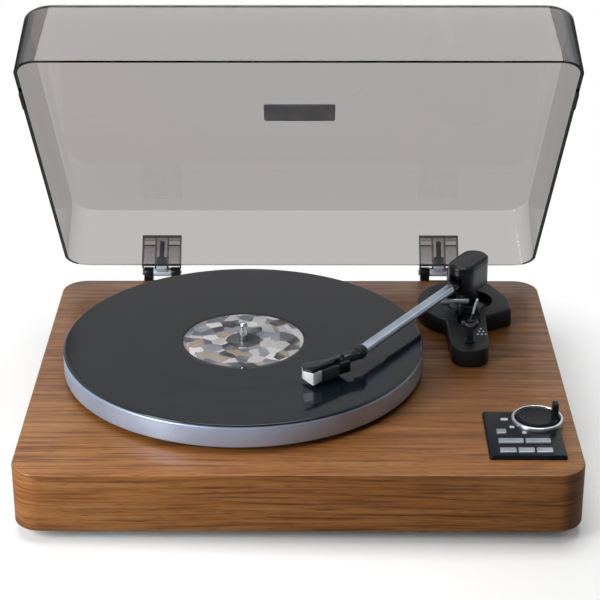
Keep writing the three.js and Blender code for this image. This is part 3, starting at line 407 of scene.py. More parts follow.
def sweep(
    path: Array, radius: Array | float, around: int = 24, flatness: float = 1.0, up: Point = (0, 0, 1)
) -> Surface:
    """Carries an ellipse along a path: point (i, j) is p_i + r_i (cos a_j side_i + flatness sin a_j top_i).

    Args:
        path: Array of shape (points, 3).
        radius: One radius for each path point, or one for all.
        around: Points round the section.
        flatness: Height of the section as a share of its width.
        up: Direction that the section's top leans to.

    Returns:
        The closed surface.
    """
    tangent = np.gradient(path, axis=0)
    tangent /= np.linalg.norm(tangent, axis=1)[:, None]
    side = np.cross(tangent, np.array(up, float))
    side /= np.linalg.norm(side, axis=1)[:, None]
    top = np.cross(side, tangent)
    angle = np.arange(around) * 2 * math.pi / around
    size = np.broadcast_to(np.asarray(radius, float), (len(path),))[:, None, None]
    ring = np.cos(angle)[None, :, None] * side[:, None] + flatness * np.sin(angle)[None, :, None] * top[:, None]
    return loft(path[:, None] + size * ring)


def capsule(start: Point, end: Point, radius: float, up: Point = (0, 0, 1), round_end: float = 0.5) -> Surface:
    """Makes a straight round rod: at d from an end its radius is r sqrt(1 - (1 - d / e)^2), up to d = e.

    Args:
        start: Middle of one end.
        end: Middle of the other end.
        radius: The rod's radius r.
        up: A direction that the rod doesn't run along.
        round_end: Length e of the eased end, as a share of the radius.

    Returns:
        The closed surface.
    """
    first, last = np.array(start, float), np.array(end, float)
    length = np.linalg.norm(last - first)
    angle = np.linspace(0, math.pi / 2, 6)
    ease = round_end * radius
    near = ease * (1 - np.cos(angle))
    place = np.concatenate([near, (length - near)[::-1]])
    width = radius * np.sqrt(np.maximum(1 - (1 - near / max(ease, 1e-6)) ** 2, 0.0004))
    path = first + (last - first) * (place / length)[:, None]
    # A hair of extra length keeps each step forward where two points fall together.
    spaced = path + np.linspace(0, 1e-6, len(path))[:, None] * (last - first)
    return sweep(spaced, np.concatenate([width, width[::-1]]), 28, 1.0, up)


def joined(surfaces: Sequence[Surface]) -> Surface:
    """Puts several surfaces that don't touch into one.

    Args:
        surfaces: The surfaces, in one frame.

    Returns:
        One surface that holds them all.
    """
    shift = 0
    points, faces = [], []
    for surface in surfaces:
        points.append(surface.points)
        faces += [group + shift for group in surface.faces]
        shift += len(surface.points)
    return Surface(np.vstack(points), faces)


def mesh_points(mesh: bpy.types.Mesh) -> Array:
    """Reads the points of a mesh that lies in the row frame.

    Args:
        mesh: The mesh, in metres.

    Returns:
        Array of shape (points, 3), in millimetres.
    """
    points = np.empty(len(mesh.vertices) * 3)
    mesh.vertices.foreach_get("co", points)
    return points.reshape(-1, 3) * PER_METRE


def store_values(mesh: bpy.types.Mesh, name: str, values: Array) -> None:
    """Stores one number for each point of a mesh, under a name that its material reads."""
    mesh.attributes.new(name, "FLOAT", "POINT").data.foreach_set("value", values)


# ---- Finishes ----


def linear(red: float, green: float, blue: float) -> Colour:
    """Turns a display colour into linear light: c / 12.92 when dark, else ((c + 0.055) / 1.055)^2.4.

    Args:
        red: Red, from 0 to 255.
        green: Green, from 0 to 255.
        blue: Blue, from 0 to 255.

    Returns:
        The colour, from 0 to 1.
    """
    values = np.array([red, green, blue], float) / 255
    low = values / 12.92
    high = ((values + 0.055) / 1.055) ** 2.4
    return tuple(float(v) for v in np.where(values <= 0.04045, low, high))


def shade(colour: Colour, share: float, lift: float = 0.0) -> Colour:
    """Gives a colour times a share plus a lift, no part of it above 1."""
    return tuple(min(c * share + lift, 1.0) for c in colour)


class NodeTree:
    """A node tree with short calls for making and joining its nodes."""

    def __init__(self, tree: bpy.types.NodeTree) -> None:
        """Empties the tree."""
        self.tree = tree
        self.tree.nodes.clear()

    def link(self, source: Socket, target: Socket) -> None:
        """Joins two sockets."""
        self.tree.links.new(source, target)

    def feed(self, target: Socket, value: object) -> None:
        """Joins a socket to an input, or sets the input's own value, a colour as an opaque one.

        Args:
            target: The input.
            value: A socket, a number, a vector or a colour.
        """
        if isinstance(value, Socket):
            self.link(value, target)
        elif target.type == "RGBA":
            target.default_value = (*value, 1.0)
        else:
            target.default_value = value

    def node(self, kind: str, inputs: dict[str | int, object] | None = None, **settings: object) -> bpy.types.Node:
        """Adds a node.

        Args:
            kind: The node's type name.
            inputs: Values or sockets for its inputs, by name or number.
            **settings: Attributes of the node.

        Returns:
            The node.
        """
        made = self.tree.nodes.new(kind)
        for key, value in settings.items():
            setattr(made, key, value)
        for key, value in (inputs or {}).items():
            self.feed(made.inputs[key], value)
        return made

    def math(self, operation: str, first: object, second: object = 0.0) -> Socket:
        """Adds one step of arithmetic."""
        return self.node("ShaderNodeMath", {0: first, 1: second}, operation=operation).outputs[0]

    def vector_math(self, operation: str, first: object, second: object = (0.0, 0.0, 0.0)) -> Socket:
        """Adds one step of arithmetic on vectors."""
        return self.node("ShaderNodeVectorMath", {0: first, 1: second}, operation=operation).outputs[0]

    def length(self, vector: Socket) -> Socket:
        """Gives a vector's length."""
        return self.node("ShaderNodeVectorMath", {0: vector}, operation="LENGTH").outputs["Value"]

    def vector(self, x: object = 0.0, y: object = 0.0, z: object = 0.0) -> Socket:
        """Joins three values into a vector."""
        return self.node("ShaderNodeCombineXYZ", {0: x, 1: y, 2: z}).outputs[0]

    def axes(self, vector: Socket) -> Sequence[Socket]:
        """Splits a vector into x, y and z."""
        return self.node("ShaderNodeSeparateXYZ", {0: vector}).outputs

    def glow(self, level: Socket) -> Socket:
        """Gives white light of a level."""
        return self.node("ShaderNodeEmission", {"Color": WHITE, "Strength": level}).outputs[0]

    def spread(
        self, value: Socket, low: float, high: float, start: float = 0.0, end: float = 1.0, smooth: bool = False
    ) -> Socket:
        """Maps start..end to low..high, in a straight line or with soft ends.

        Args:
            value: What is mapped.
            low: Result at the start.
            high: Result at the end.
            start: Value that gives low.
            end: Value that gives high.
            smooth: Whether the ends are soft.

        Returns:
            The mapped value.
        """
        values = {"Value": value, "From Min": start, "From Max": end, "To Min": low, "To Max": high}
        kind = "SMOOTHSTEP" if smooth else "LINEAR"
        return self.node("ShaderNodeMapRange", values, interpolation_type=kind).outputs[0]

    def pick(self, test: Socket, first: object, second: object) -> Socket:
        """Gives the first value where a test is 0, and the second where it is 1."""
        return self.node("ShaderNodeMix", {0: test, 2: first, 3: second}).outputs[0]


class Shader(NodeTree):
    """A material's nodes, with short calls for the patterns that the finishes share."""

    def __init__(self, name: str) -> None:
        """Starts an empty material with one principled shader.

        Args:
            name: The material's name.
        """
        self.material = bpy.data.materials.new(name)
        self.material.use_nodes = True
        super().__init__(self.material.node_tree)
        self.output = self.tree.nodes.new("ShaderNodeOutputMaterial")
        self.surface = self.tree.nodes.new("ShaderNodeBsdfPrincipled")
        self.link(self.surface.outputs[0], self.output.inputs["Surface"])

    def place(self, scale: Point = (1, 1, 1), centre: Point = (0, 0, 0), spin: float = 0.0) -> Socket:
        """Gives object coordinates in metres.

        Args:
            scale: What they are multiplied by along each axis, last of all.
            centre: The point that they are counted from.
            spin: Turn about Z, in radians.

        Returns:
            The coordinates.
        """
        coords = self.node("ShaderNodeTexCoord")
        moved = self.node("ShaderNodeMapping", {0: coords.outputs["Object"], "Location": tuple(-c for c in centre)})
        turned = self.node("ShaderNodeMapping", {0: moved.outputs[0], "Rotation": (0, 0, spin), "Scale": scale})
        return turned.outputs[0]

    def noise(self, vector: Socket, scale: float, detail: float = 3.0, distortion: float = 0.0) -> Socket:
        """Adds a noise pattern and gives its value."""
        values = {"Vector": vector, "Scale": scale, "Detail": detail, "Distortion": distortion}
        return self.node("ShaderNodeTexNoise", values).outputs[0]

    def ramp(self, value: Socket, stops: Sequence[tuple[float, Colour]], kind: str = "LINEAR") -> Socket:
        """Maps a value through colour stops.

        Args:
            value: What is mapped.
            stops: A position from 0 to 1 and a colour for each stop.
            kind: How the colour goes from one stop to the next.

        Returns:
            The colour.
        """
        made = self.node("ShaderNodeValToRGB", {0: value})
        made.color_ramp.interpolation = kind
        elements = made.color_ramp.elements
        while len(elements) < len(stops):
            elements.new(1.0)
        for element, (position, colour) in zip(elements, stops):
            element.position = position
            element.color = (*colour, 1.0)
        return made.outputs[0]

    def radius(self, centre: Point) -> Socket:
        """Gives the distance to an upright axis."""
        x, y = self.axes(self.place(centre=centre))[:2]
        return self.length(self.vector(x, y))

    def blend(self, share: object, first: object, second: object) -> Socket:
        """Blends two colours, the share of the second going from 0 to 1."""
        return self.node("ShaderNodeMix", {0: share, 6: first, 7: second}, data_type="RGBA").outputs[2]

    def relief(self, height: Socket, strength: float, depth: float) -> None:
        """Bends the surface's normal by a height pattern, its depth in metres."""
        made = self.node("ShaderNodeBump", {"Height": height, "Strength": strength, "Distance": depth})
        self.link(made.outputs[0], self.surface.inputs["Normal"])

    def set(self, **values: object) -> None:
        """Sets sockets of the principled shader.

        Args:
            **values: Values or sockets, by the socket's name with underscores for spaces.
        """
        for key, value in values.items():
            self.feed(self.surface.inputs[key.replace("_", " ").title().replace("Ior", "IOR")], value)


@dataclass(frozen=True)
class Finish:
    """What a surface is made of; each kind of finish draws its own material."""

    name: str
    slot: Slot

    def material(self) -> bpy.types.Material:
        """Makes the finish's material, or gives the one that was made before.

        Returns:
            The material.
        """
        known = bpy.data.materials.get(self.name)
        if known is not None and known.get("finished"):
            return known
        shader = Shader(self.name)
        self.draw(shader)
        shader.material["finished"] = True
        return shader.material

    def draw(self, shader: Shader) -> None:
        """Draws the nodes; each kind of finish has its own way."""
        raise NotImplementedError(self.name)


@dataclass(frozen=True)
class Moulded(Finish):
    """Moulded plastic: an even colour with faint mottling and a fine spark-eroded grain."""

    colour: Colour = (0.03, 0.03, 0.03)
    roughness: float = 0.45
    grain: float = 0.35
    grain_size: float = 1800.0
    metallic: float = 0.0
    gloss: float = 0.5
    sheen: Colour = (0.86, 0.94, 1.0)

    def draw(self, shader: Shader) -> None:
        """Mottles the colour and the roughness, and adds the grain as relief.

        Args:
            shader: The material's nodes.
        """
        place = shader.place()
        mottle = shader.noise(place, 60.0, 4.0)
        grain = shader.noise(place, self.grain_size, 2.0)
        dark, light = shade(self.colour, 0.82), shade(self.colour, 1.25, 0.002)
        shader.set(
            base_color=shader.ramp(mottle, [(0.3, dark), (0.7, light)]),
            roughness=shader.spread(grain, self.roughness - 0.06, self.roughness + 0.06),
            metallic=self.metallic,
            specular_ior_level=self.gloss,
            specular_tint=self.sheen,
        )
        shader.relief(grain, self.grain, 0.00005)


@dataclass(frozen=True)
class Rubber(Finish):
    """Matt black rubber with a dusty bloom."""

    colour: Colour = (0.018, 0.018, 0.019)

    def draw(self, shader: Shader) -> None:
        """Lightens the colour in soft clouds and roughens the surface.

        Args:
            shader: The material's nodes.
        """
        place = shader.place()
        bloom = shader.noise(place, 35.0, 5.0)
        pores = shader.noise(place, 900.0, 3.0)
        shader.set(
            base_color=shader.ramp(bloom, [(0.35, self.colour), (0.75, shade(self.colour, 2.2))]),
            roughness=shader.spread(pores, 0.72, 0.92),
            specular_ior_level=0.35,
        )
        shader.relief(pores, 0.3, 0.00008)


@dataclass(frozen=True)
class Turned(Finish):
    """Metal turned on a lathe about an upright axis: fine rings, and a soft streaked sheen."""

    colour: Colour = (0.5, 0.52, 0.56)
    roughness: float = 0.3
    centre: Point = (0.0, 0.0, 0.0)
    pitch: float = 2600.0
    depth: float = 0.25
    metallic: float = 1.0

    def draw(self, shader: Shader) -> None:
        """Makes rings from noise of the distance to the axis and of the height.

        Args:
            shader: The material's nodes.
        """
        place = shader.place(centre=self.centre)
        line = shader.vector(shader.radius(self.centre), 0.0, shader.axes(place)[2])
        rings = shader.noise(line, self.pitch, 2.0)
        cloud = shader.noise(place, 30.0, 3.0)
        dull, bright = shade(self.colour, 0.9), shade(self.colour, 1.12)
        shader.set(
            base_color=shader.ramp(cloud, [(0.3, dull), (0.7, bright)]),
            roughness=shader.spread(rings, self.roughness - 0.07, self.roughness + 0.09),
            metallic=self.metallic,
        )
        shader.relief(rings, self.depth, 0.00004)


@dataclass(frozen=True)
class Brushed(Finish):
    """Metal with fine lines along one direction and a faint haze."""

    colour: Colour = (0.5, 0.5, 0.52)
    roughness: float = 0.3
    stretch: Point = (1800.0, 40.0, 1800.0)
    depth: float = 0.2
    metallic: float = 1.0
    spin: float = 0.0

    def draw(self, shader: Shader) -> None:
        """Makes the lines from noise that is stretched along them.

        Args:
            shader: The material's nodes.
        """
        lines = shader.noise(shader.place(scale=self.stretch, spin=self.spin), 1.0, 3.0)
        haze = shader.noise(shader.place(), 45.0, 3.0)
        dull, bright = shade(self.colour, 0.88), shade(self.colour, 1.15)
        shader.set(
            base_color=shader.ramp(haze, [(0.3, dull), (0.7, bright)]),
            roughness=shader.spread(lines, self.roughness - 0.08, self.roughness + 0.1),
            metallic=self.metallic,
        )
        shader.relief(lines, self.depth, 0.00003)


@dataclass(frozen=True)
class Veneer(Finish):
    """Walnut-coloured veneer under a satin lacquer, its grain running round the case.

    The sides read the case's own attribute, which holds the distance round its outline.
    """

    pale: Colour = (0.37, 0.173, 0.062)
    mid: Colour = (0.29, 0.113, 0.03)
    dark: Colour = (0.12, 0.042, 0.011)
    girth: str = "girth"
    sway: float = 0.0065
    growth_lines: float = 150.0
    upright_below: float = 0.7
    deck_depth: float = 0.05
    side_depth: float = 0.4

    def draw(self, shader: Shader) -> None:
        """Lays broad figure, growth lines, fine streaks and short pores along the grain.

        Args:
            shader: The material's nodes.
        """
        grain = self.grain(shader)
        wander = self.stretched(shader, grain, 3.5, 6.0, 2.0)
        shift = shader.spread(wander, -self.sway, self.sway)
        bent = shader.vector_math("ADD", grain, shader.vector(y=shift))
        broad = self.stretched(shader, bent, 2.2, 60.0, 4.0, 0.3)
        figure = self.stretched(shader, grain, 1.5, 15.0, 1.0)
        growth = shader.math("SINE", shader.math("MULTIPLY", figure, self.growth_lines))
        streak = self.stretched(shader, bent, 13.0, 430.0, 5.0)
        glint = self.stretched(shader, bent, 8.0, 230.0, 4.0)
        pore = self.stretched(shader, bent, 70.0, 1500.0, 2.0)
        cloud = self.stretched(shader, grain, 6.0, 13.0, 3.0)
        base = shader.ramp(broad, [(0.25, self.dark), (0.42, self.mid), (0.6, self.mid), (0.78, self.pale)])
        ringed = shader.blend(shader.spread(growth, 0.0, 0.3, 0.3, 1.0), base, self.dark)
        lined = shader.blend(shader.spread(streak, 0.0, 0.92, 0.48, 0.64), ringed, self.dark)
        bright = shader.blend(shader.spread(glint, 0.0, 0.7, 0.52, 0.68), lined, self.pale)
        lit = shader.blend(shader.spread(cloud, 0.0, 0.4, 0.46, 0.72), bright, self.pale)
        worn = shader.blend(shader.spread(pore, 0.0, 0.65, 0.56, 0.7), lit, shade(self.dark, 0.5))
        shader.set(
            base_color=worn,
            roughness=shader.spread(streak, 0.34, 0.48),
            specular_ior_level=0.2,
            coat_weight=0.16,
            coat_roughness=0.14,
        )
        shader.relief(pore, 0.18, 0.00008)

    def grain(self, shader: Shader) -> Socket:
        """Gives (along, across, depth): x and y on the deck, girth and height on the sides.

        Args:
            shader: The material's nodes.

        Returns:
            The three of them, in metres.
        """
        coords = shader.node("ShaderNodeTexCoord").outputs
        facing = shader.math("ABSOLUTE", shader.axes(coords["Normal"])[2])
        upright = shader.math("LESS_THAN", facing, self.upright_below)
        x, y, z = shader.axes(coords["Object"])
        girth = shader.node("ShaderNodeAttribute", attribute_name=self.girth).outputs["Fac"]
        depth = shader.pick(upright, self.deck_depth, self.side_depth)
        return shader.vector(shader.pick(upright, x, girth), shader.pick(upright, y, z), depth)

    @staticmethod
    def stretched(
        shader: Shader, vector: Socket, along: float, across: float, detail: float, distortion: float = 0.0
    ) -> Socket:
        """Adds a noise pattern with one scale along the grain and another across it."""
        scaled = shader.vector_math("MULTIPLY", vector, (along, across, across))
        return shader.noise(scaled, 1.0, detail, distortion)


@dataclass(frozen=True)
class Vinyl(Finish):
    """Pressed record: glossy black with very fine grooves, in bands that differ slightly in sheen."""

    centre: Point = (0.0, 0.0, 0.0)
    colour: Colour = (0.006, 0.0085, 0.0125)

    def draw(self, shader: Shader) -> None:
        """Makes rings from the distance to the spindle, in the colour, the gloss and the relief.

        Args:
            shader: The material's nodes.
        """
        line = shader.vector(shader.radius(self.centre))
        fine = shader.noise(line, 5200.0, 1.0)
        medium = shader.noise(line, 420.0, 2.0)
        broad = shader.noise(line, 70.0, 2.0)
        dark, light = shade(self.colour, 0.75), shade(self.colour, 1.4)
        shader.set(
            base_color=shader.ramp(broad, [(0.35, dark), (0.65, light)]),
            roughness=shader.spread(medium, 0.08, 0.13),
            specular_ior_level=0.45,
            specular_tint=(0.84, 0.93, 1.0),
        )
        shader.relief(fine, 0.1, 0.00002)


@dataclass(frozen=True)
class PrintedLabel(Finish):
    """Paper label with a plain generic print: a mosaic of chips in greys, white and sand.

    Each inked band has its inner and outer radius in metres, and how much of the ink shows.
    """

    centre: Point = (0.0, 0.0, 0.0)
    chips: tuple[Colour, ...] = (
        (0.035, 0.04, 0.055), (0.66, 0.66, 0.68), (0.13, 0.15, 0.2), (0.42, 0.34, 0.27), (0.88, 0.88, 0.88),
        (0.3, 0.34, 0.41),
    )
    ink: Colour = (0.03, 0.03, 0.035)
    chip_scale: float = 95.0
    chip_bend: float = 0.005
    inked: tuple[tuple[float, float, float], ...] = ((0.0, 0.0145, 0.85), (0.0506, 0.06, 1.0))

    def draw(self, shader: Shader) -> None:
        """Colours the cells of a bent cell pattern one by one, then prints a dark middle and rim.

        Args:
            shader: The material's nodes.
        """
        place = shader.place(centre=self.centre)
        x, y = shader.axes(place)[:2]
        flat = shader.vector(x, y)
        bend = shader.node("ShaderNodeTexNoise", {"Vector": flat, "Scale": 55.0, "Detail": 2.0}).outputs["Color"]
        push = shader.vector_math("MULTIPLY", bend, (self.chip_bend, self.chip_bend, 0.0))
        bent = shader.vector_math("ADD", flat, push)
        cells = shader.node("ShaderNodeTexVoronoi", {"Vector": bent, "Scale": self.chip_scale}).outputs["Color"]
        lot = shader.node("ShaderNodeSeparateColor", {0: cells}).outputs[0]
        stops = [(k / len(self.chips), colour) for k, colour in enumerate(self.chips)]
        mosaic = shader.ramp(lot, stops, "CONSTANT")
        fibre = shader.noise(place, 900.0, 3.0)
        cloud = shader.noise(flat, 60.0, 3.0)
        printed = shader.blend(shader.spread(cloud, 0.0, 0.45, 0.45, 0.75), mosaic, self.chips[1])
        printed = shader.blend(shader.spread(fibre, 0.0, 0.14), printed, self.chips[3])
        radius = shader.radius(self.centre)
        for inner, outer, share in self.inked:
            above = shader.math("GREATER_THAN", radius, inner)
            below = shader.math("LESS_THAN", radius, outer)
            band = shader.math("MULTIPLY", shader.math("MULTIPLY", above, below), share)
            printed = shader.blend(band, printed, self.ink)
        shader.set(base_color=printed, roughness=shader.spread(fibre, 0.4, 0.55), specular_ior_level=0.4)
        shader.relief(fibre, 0.15, 0.00004)


@dataclass(frozen=True)
class SmokedAcrylic(Finish):
    """Clear plastic with a warm grey body tint: light is lost along its path inside the walls.

    Painted shade darkens the surface where the piece's own attribute says that a corner bends.
    """

    tint: Colour = (0.52, 0.495, 0.492)
    density: float = 440.0
    bend: str = "bend"
    painted_bend_shade: Colour = (0.17, 0.215, 0.235)
    refraction: float = 1.39

    def draw(self, shader: Shader) -> None:
        """Sets a clear shell, with painted shade at its bends, over an absorbing body.

        Args:
            shader: The material's nodes.
        """
        # The bend attribute blends the base colour towards a dark tint: painted shade at the front corners.
        bend = shader.node("ShaderNodeAttribute", attribute_name=self.bend).outputs["Fac"]
        shader.set(
            base_color=shader.blend(bend, WHITE, self.painted_bend_shade),
            roughness=0.0,
            ior=self.refraction,
            transmission_weight=1.0,
        )
        body = shader.node("ShaderNodeVolumeAbsorption", {"Color": self.tint, "Density": self.density})
        shader.link(body.outputs[0], shader.output.inputs["Volume"])


@dataclass(frozen=True)
class Board(Finish):
    """Pressed board or circuit board: an even tint with flecks."""

    colour: Colour = (0.03, 0.025, 0.022)
    fleck: Colour = (0.08, 0.07, 0.06)
    roughness: float = 0.8

    def draw(self, shader: Shader) -> None:
        """Scatters flecks over the tint and lifts them slightly.

        Args:
            shader: The material's nodes.
        """
        flecks = shader.noise(shader.place(), 700.0, 4.0)
        shader.set(
            base_color=shader.ramp(flecks, [(0.5, self.colour), (0.72, self.fleck)]),
            roughness=self.roughness,
        )
        shader.relief(flecks, 0.3, 0.0001)


# ---- Pieces ----


class Bench:
    """Where pieces are made: turns surfaces into objects, joins and cuts them, and hands them over."""

    def __init__(self, nodes: dict[str, Solid]) -> None:
        """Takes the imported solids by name, and starts with nothing made."""
        self.nodes = nodes
        self.made: list[str] = []

    @staticmethod
    def raw(surface: Surface, frame: Frame) -> Solid:
        """Makes a bare object of a surface, with its doubles merged and its faces pointing outwards.

        Args:
            surface: The surface, in the frame's millimetres.
            frame: The frame that it is drawn in.

        Returns:
            The object, with its place in its mesh.
        """
        mesh = bpy.data.meshes.new("tool")
        faces = [face for group in surface.faces for face in group.tolist()]
        mesh.from_pydata(frame.row(surface.points).tolist(), [], faces)
        shape = bmesh.new()
        shape.from_mesh(mesh)
        bmesh.ops.remove_doubles(shape, verts=shape.verts, dist=WELD)
        bmesh.ops.recalc_face_normals(shape, faces=shape.faces)
        shape.to_mesh(mesh)
        shape.free()
        return added("tool", mesh)

    def work(self, target: Solid, tools: Sequence[Solid], how: Carve) -> None:
        """Joins solids to a target or cuts them from it, one after another.

        Args:
            target: The solid that changes.
            tools: The solids that are used up on it.
            how: Whether they are joined or cut.
        """
        for tool in tools:
            step = target.modifiers.new("carve", "BOOLEAN")
            step.operation = how.value
            step.solver = "EXACT"
            step.object = tool
            self.apply(target)
            data = tool.data
            bpy.data.objects.remove(tool)
            bpy.data.meshes.remove(data)

    def carve(self, target: Solid, shapes: Sequence[Surface], frame: Frame, how: Carve) -> None:
        """Joins surfaces of one frame to a target, or cuts them from it."""
        self.work(target, [self.raw(shape, frame) for shape in shapes], how)

    @staticmethod
    def apply(target: Solid) -> None:
        """Replaces an object's mesh by the result of its modifiers.

        Args:
            target: The object.
        """
        graph = bpy.context.evaluated_depsgraph_get()
        result = bpy.data.meshes.new_from_object(target.evaluated_get(graph))
        old = target.data
        target.modifiers.clear()
        target.data = result
        bpy.data.meshes.remove(old)

    def refined(self, node: str, width: float = 0.0) -> Solid:
        """Makes a cleaned copy of a plain solid: points merged, flat areas joined, edges softened.

        Args:
            node: The solid's name.
            width: Width of the softened edges, in millimetres, or 0 for none.

        Returns:
            The new object.
        """
        mesh = self.nodes[node].data.copy()
        shape = bmesh.new()
        shape.from_mesh(mesh)
        bmesh.ops.remove_doubles(shape, verts=shape.verts, dist=WELD)
        limit = math.radians(FLAT_DEGREES)
        bmesh.ops.dissolve_limit(shape, angle_limit=limit, verts=shape.verts, edges=shape.edges)
        shape.to_mesh(mesh)
        shape.free()
        made = added("refined", mesh)
        if width:
            step = made.modifiers.new("soften", "BEVEL")
            step.width = width / PER_METRE
            step.segments = 2
            step.limit_method = "ANGLE"
            step.angle_limit = math.radians(BEVEL_DEGREES)
            self.apply(made)
        return made

    def hand_over(
        self, piece: Solid, name: str, body: Body, finish: Finish, nodes: Sequence[str] = (), sharp: float = SHARP
    ) -> None:
        """Names a piece, shades it, gives it its finish and its body, and hides what it stands for.

        Args:
            piece: The object.
            name: Its final name.
            body: The body that it rides on.
            finish: Its finish.
            nodes: The solids that it replaces.
            sharp: Angle above which an edge stays crisp, in degrees.
        """
        piece.name = name
        piece.data.name = name
        piece.data.polygons.foreach_set("use_smooth", np.ones(len(piece.data.polygons), bool))
        piece.data.set_sharp_from_angle(angle=math.radians(sharp))
        piece.data.materials.clear()
        piece.data.materials.append(finish.material())
        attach(piece, body.value)
        if nodes:
            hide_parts(*nodes)
        self.made.append(name)
        LOG.info("%s: %d faces, finish %s", name, len(piece.data.polygons), finish.name)

    def build(
        self, name: str, surface: Surface, frame: Frame, body: Body, finish: Finish, nodes: Sequence[str] = (),
        sharp: float = SHARP,
    ) -> None:
        """Makes a piece of one surface and hands it over."""
        self.hand_over(self.raw(surface, frame), name, body, finish, nodes, sharp)

    def refine(
        self, node: str, name: str, body: Body, finish: Finish, width: float = 0.0, sharp: float = SHARP
    ) -> None:
        """Makes a cleaned copy of a plain solid and hands it over in that solid's place."""
        self.hand_over(self.refined(node, width), name, body, finish, [node], sharp)

    def dress(self, node: str, finish: Finish) -> None:
        """Gives a plain solid that keeps its own shape its finish.

        Args:
            node: The solid's name.
            finish: Its finish.
        """
        mesh = self.nodes[node].data
        mesh.materials.clear()
        mesh.materials.append(finish.material())
        LOG.info("%s keeps its shape, finish %s", node, finish.name)


@dataclass(frozen=True)
class Palette:
    """The finishes of the whole object; turned ones are centred on the spindle."""

    spindle: Point

    walnut: Finish = Veneer("veneer", Slot.WALNUT)
    board: Finish = Board("fibreboard_cover", Slot.FIBREBOARD)
    circuit: Finish = Board("circuit_board", Slot.CIRCUIT, (0.012, 0.07, 0.03), (0.04, 0.14, 0.07), 0.5)
    rubber: Finish = Rubber("foot_rubber", Slot.RUBBER)
    matt_black: Finish = Moulded("matt_black", Slot.BLACK_PLASTIC, linear(22, 24, 27), 0.4, 0.3, gloss=0.35)
    satin_black: Finish = Moulded("satin_black", Slot.BLACK_PLASTIC, linear(18, 20, 23), 0.28, 0.12, gloss=0.4)
    gloss_black: Finish = Moulded("gloss_black", Slot.GLOSS_BLACK, linear(18, 19, 21), 0.16, 0.05)
    body_grey: Finish = Moulded("cartridge_grey", Slot.GLOSS_BLACK, linear(62, 64, 68), 0.24, 0.08)
    panel_black: Finish = Moulded("panel_black", Slot.GLOSS_BLACK, linear(13, 18, 24), 0.2, 0.05, gloss=0.15)
    dial_black: Finish = Moulded("dial_black", Slot.GLOSS_BLACK, linear(18, 20, 25), 0.34, 0.15, gloss=0.13)
    ring: Finish = Turned(
        "ring_metal", Slot.SILVER_PLASTIC, linear(206, 210, 217), 0.22, pitch=1800.0, depth=0.1, metallic=0.85
    )
    silver: Finish = Moulded("silver_paint", Slot.SILVER_PLASTIC, linear(160, 167, 177), 0.28, 0.12, 2600.0, 0.6)
    white: Finish = Moulded("white_plastic", Slot.WHITE_PLASTIC, linear(206, 206, 209), 0.35, 0.1)
    print_white: Finish = Moulded("printed_marks", Slot.WHITE_PLASTIC, linear(196, 199, 204), 0.5, 0.1)
    chrome: Finish = Brushed("chrome", Slot.CHROME, linear(226, 229, 234), 0.1, (900.0, 900.0, 60.0), 0.03)
    steel: Finish = Brushed("steel", Slot.STEEL, linear(138, 141, 148), 0.38, (60.0, 1500.0, 1500.0), 0.25)
    badge: Finish = Brushed("badge_metal", Slot.STEEL, linear(138, 150, 166), 0.45, (50.0, 2200.0, 2200.0), 0.3, 0.35)
    foil: Finish = Moulded("badge_foil", Slot.STEEL, linear(226, 240, 255), 0.5, 0.1)
    tube: Finish = Brushed(
        "arm_tube_metal", Slot.ARM_ALUMINIUM, linear(200, 213, 230), 0.34, (1600.0, 60.0, 1600.0), 0.15, spin=0.99
    )
    hinge_grey: Finish = Brushed(
        "hinge_metal", Slot.STEEL, linear(205, 214, 230), 0.42, (1500.0, 1500.0, 60.0), 0.2, 0.2
    )
    brass: Finish = Brushed("brass", Slot.BRASS, linear(196, 160, 92), 0.3, (900.0, 60.0, 900.0), 0.15)
    acrylic: Finish = SmokedAcrylic("smoked_acrylic", Slot.SMOKED_ACRYLIC)

    @property
    def platter(self) -> Finish:
        """Anodised casting, turned about the spindle."""
        return Turned("platter_metal", Slot.ALUMINIUM, linear(168, 182, 206), 0.38, self.spindle, 2600.0, 0.2, 0.55)

    @property
    def vinyl(self) -> Finish:
        """Record grooves about the spindle."""
        return Vinyl("record_vinyl", Slot.VINYL, self.spindle)

    @property
    def label(self) -> Finish:
        """Printed paper about the spindle."""
        return PrintedLabel("label_paper", Slot.PAPER, self.spindle)


@dataclass
class Assembly:
    """A sub-assembly: the bench that it is made on, its finishes and the frame of the deck."""

    bench: Bench
    palette: Palette
    deck: Frame


# ---- Case ----


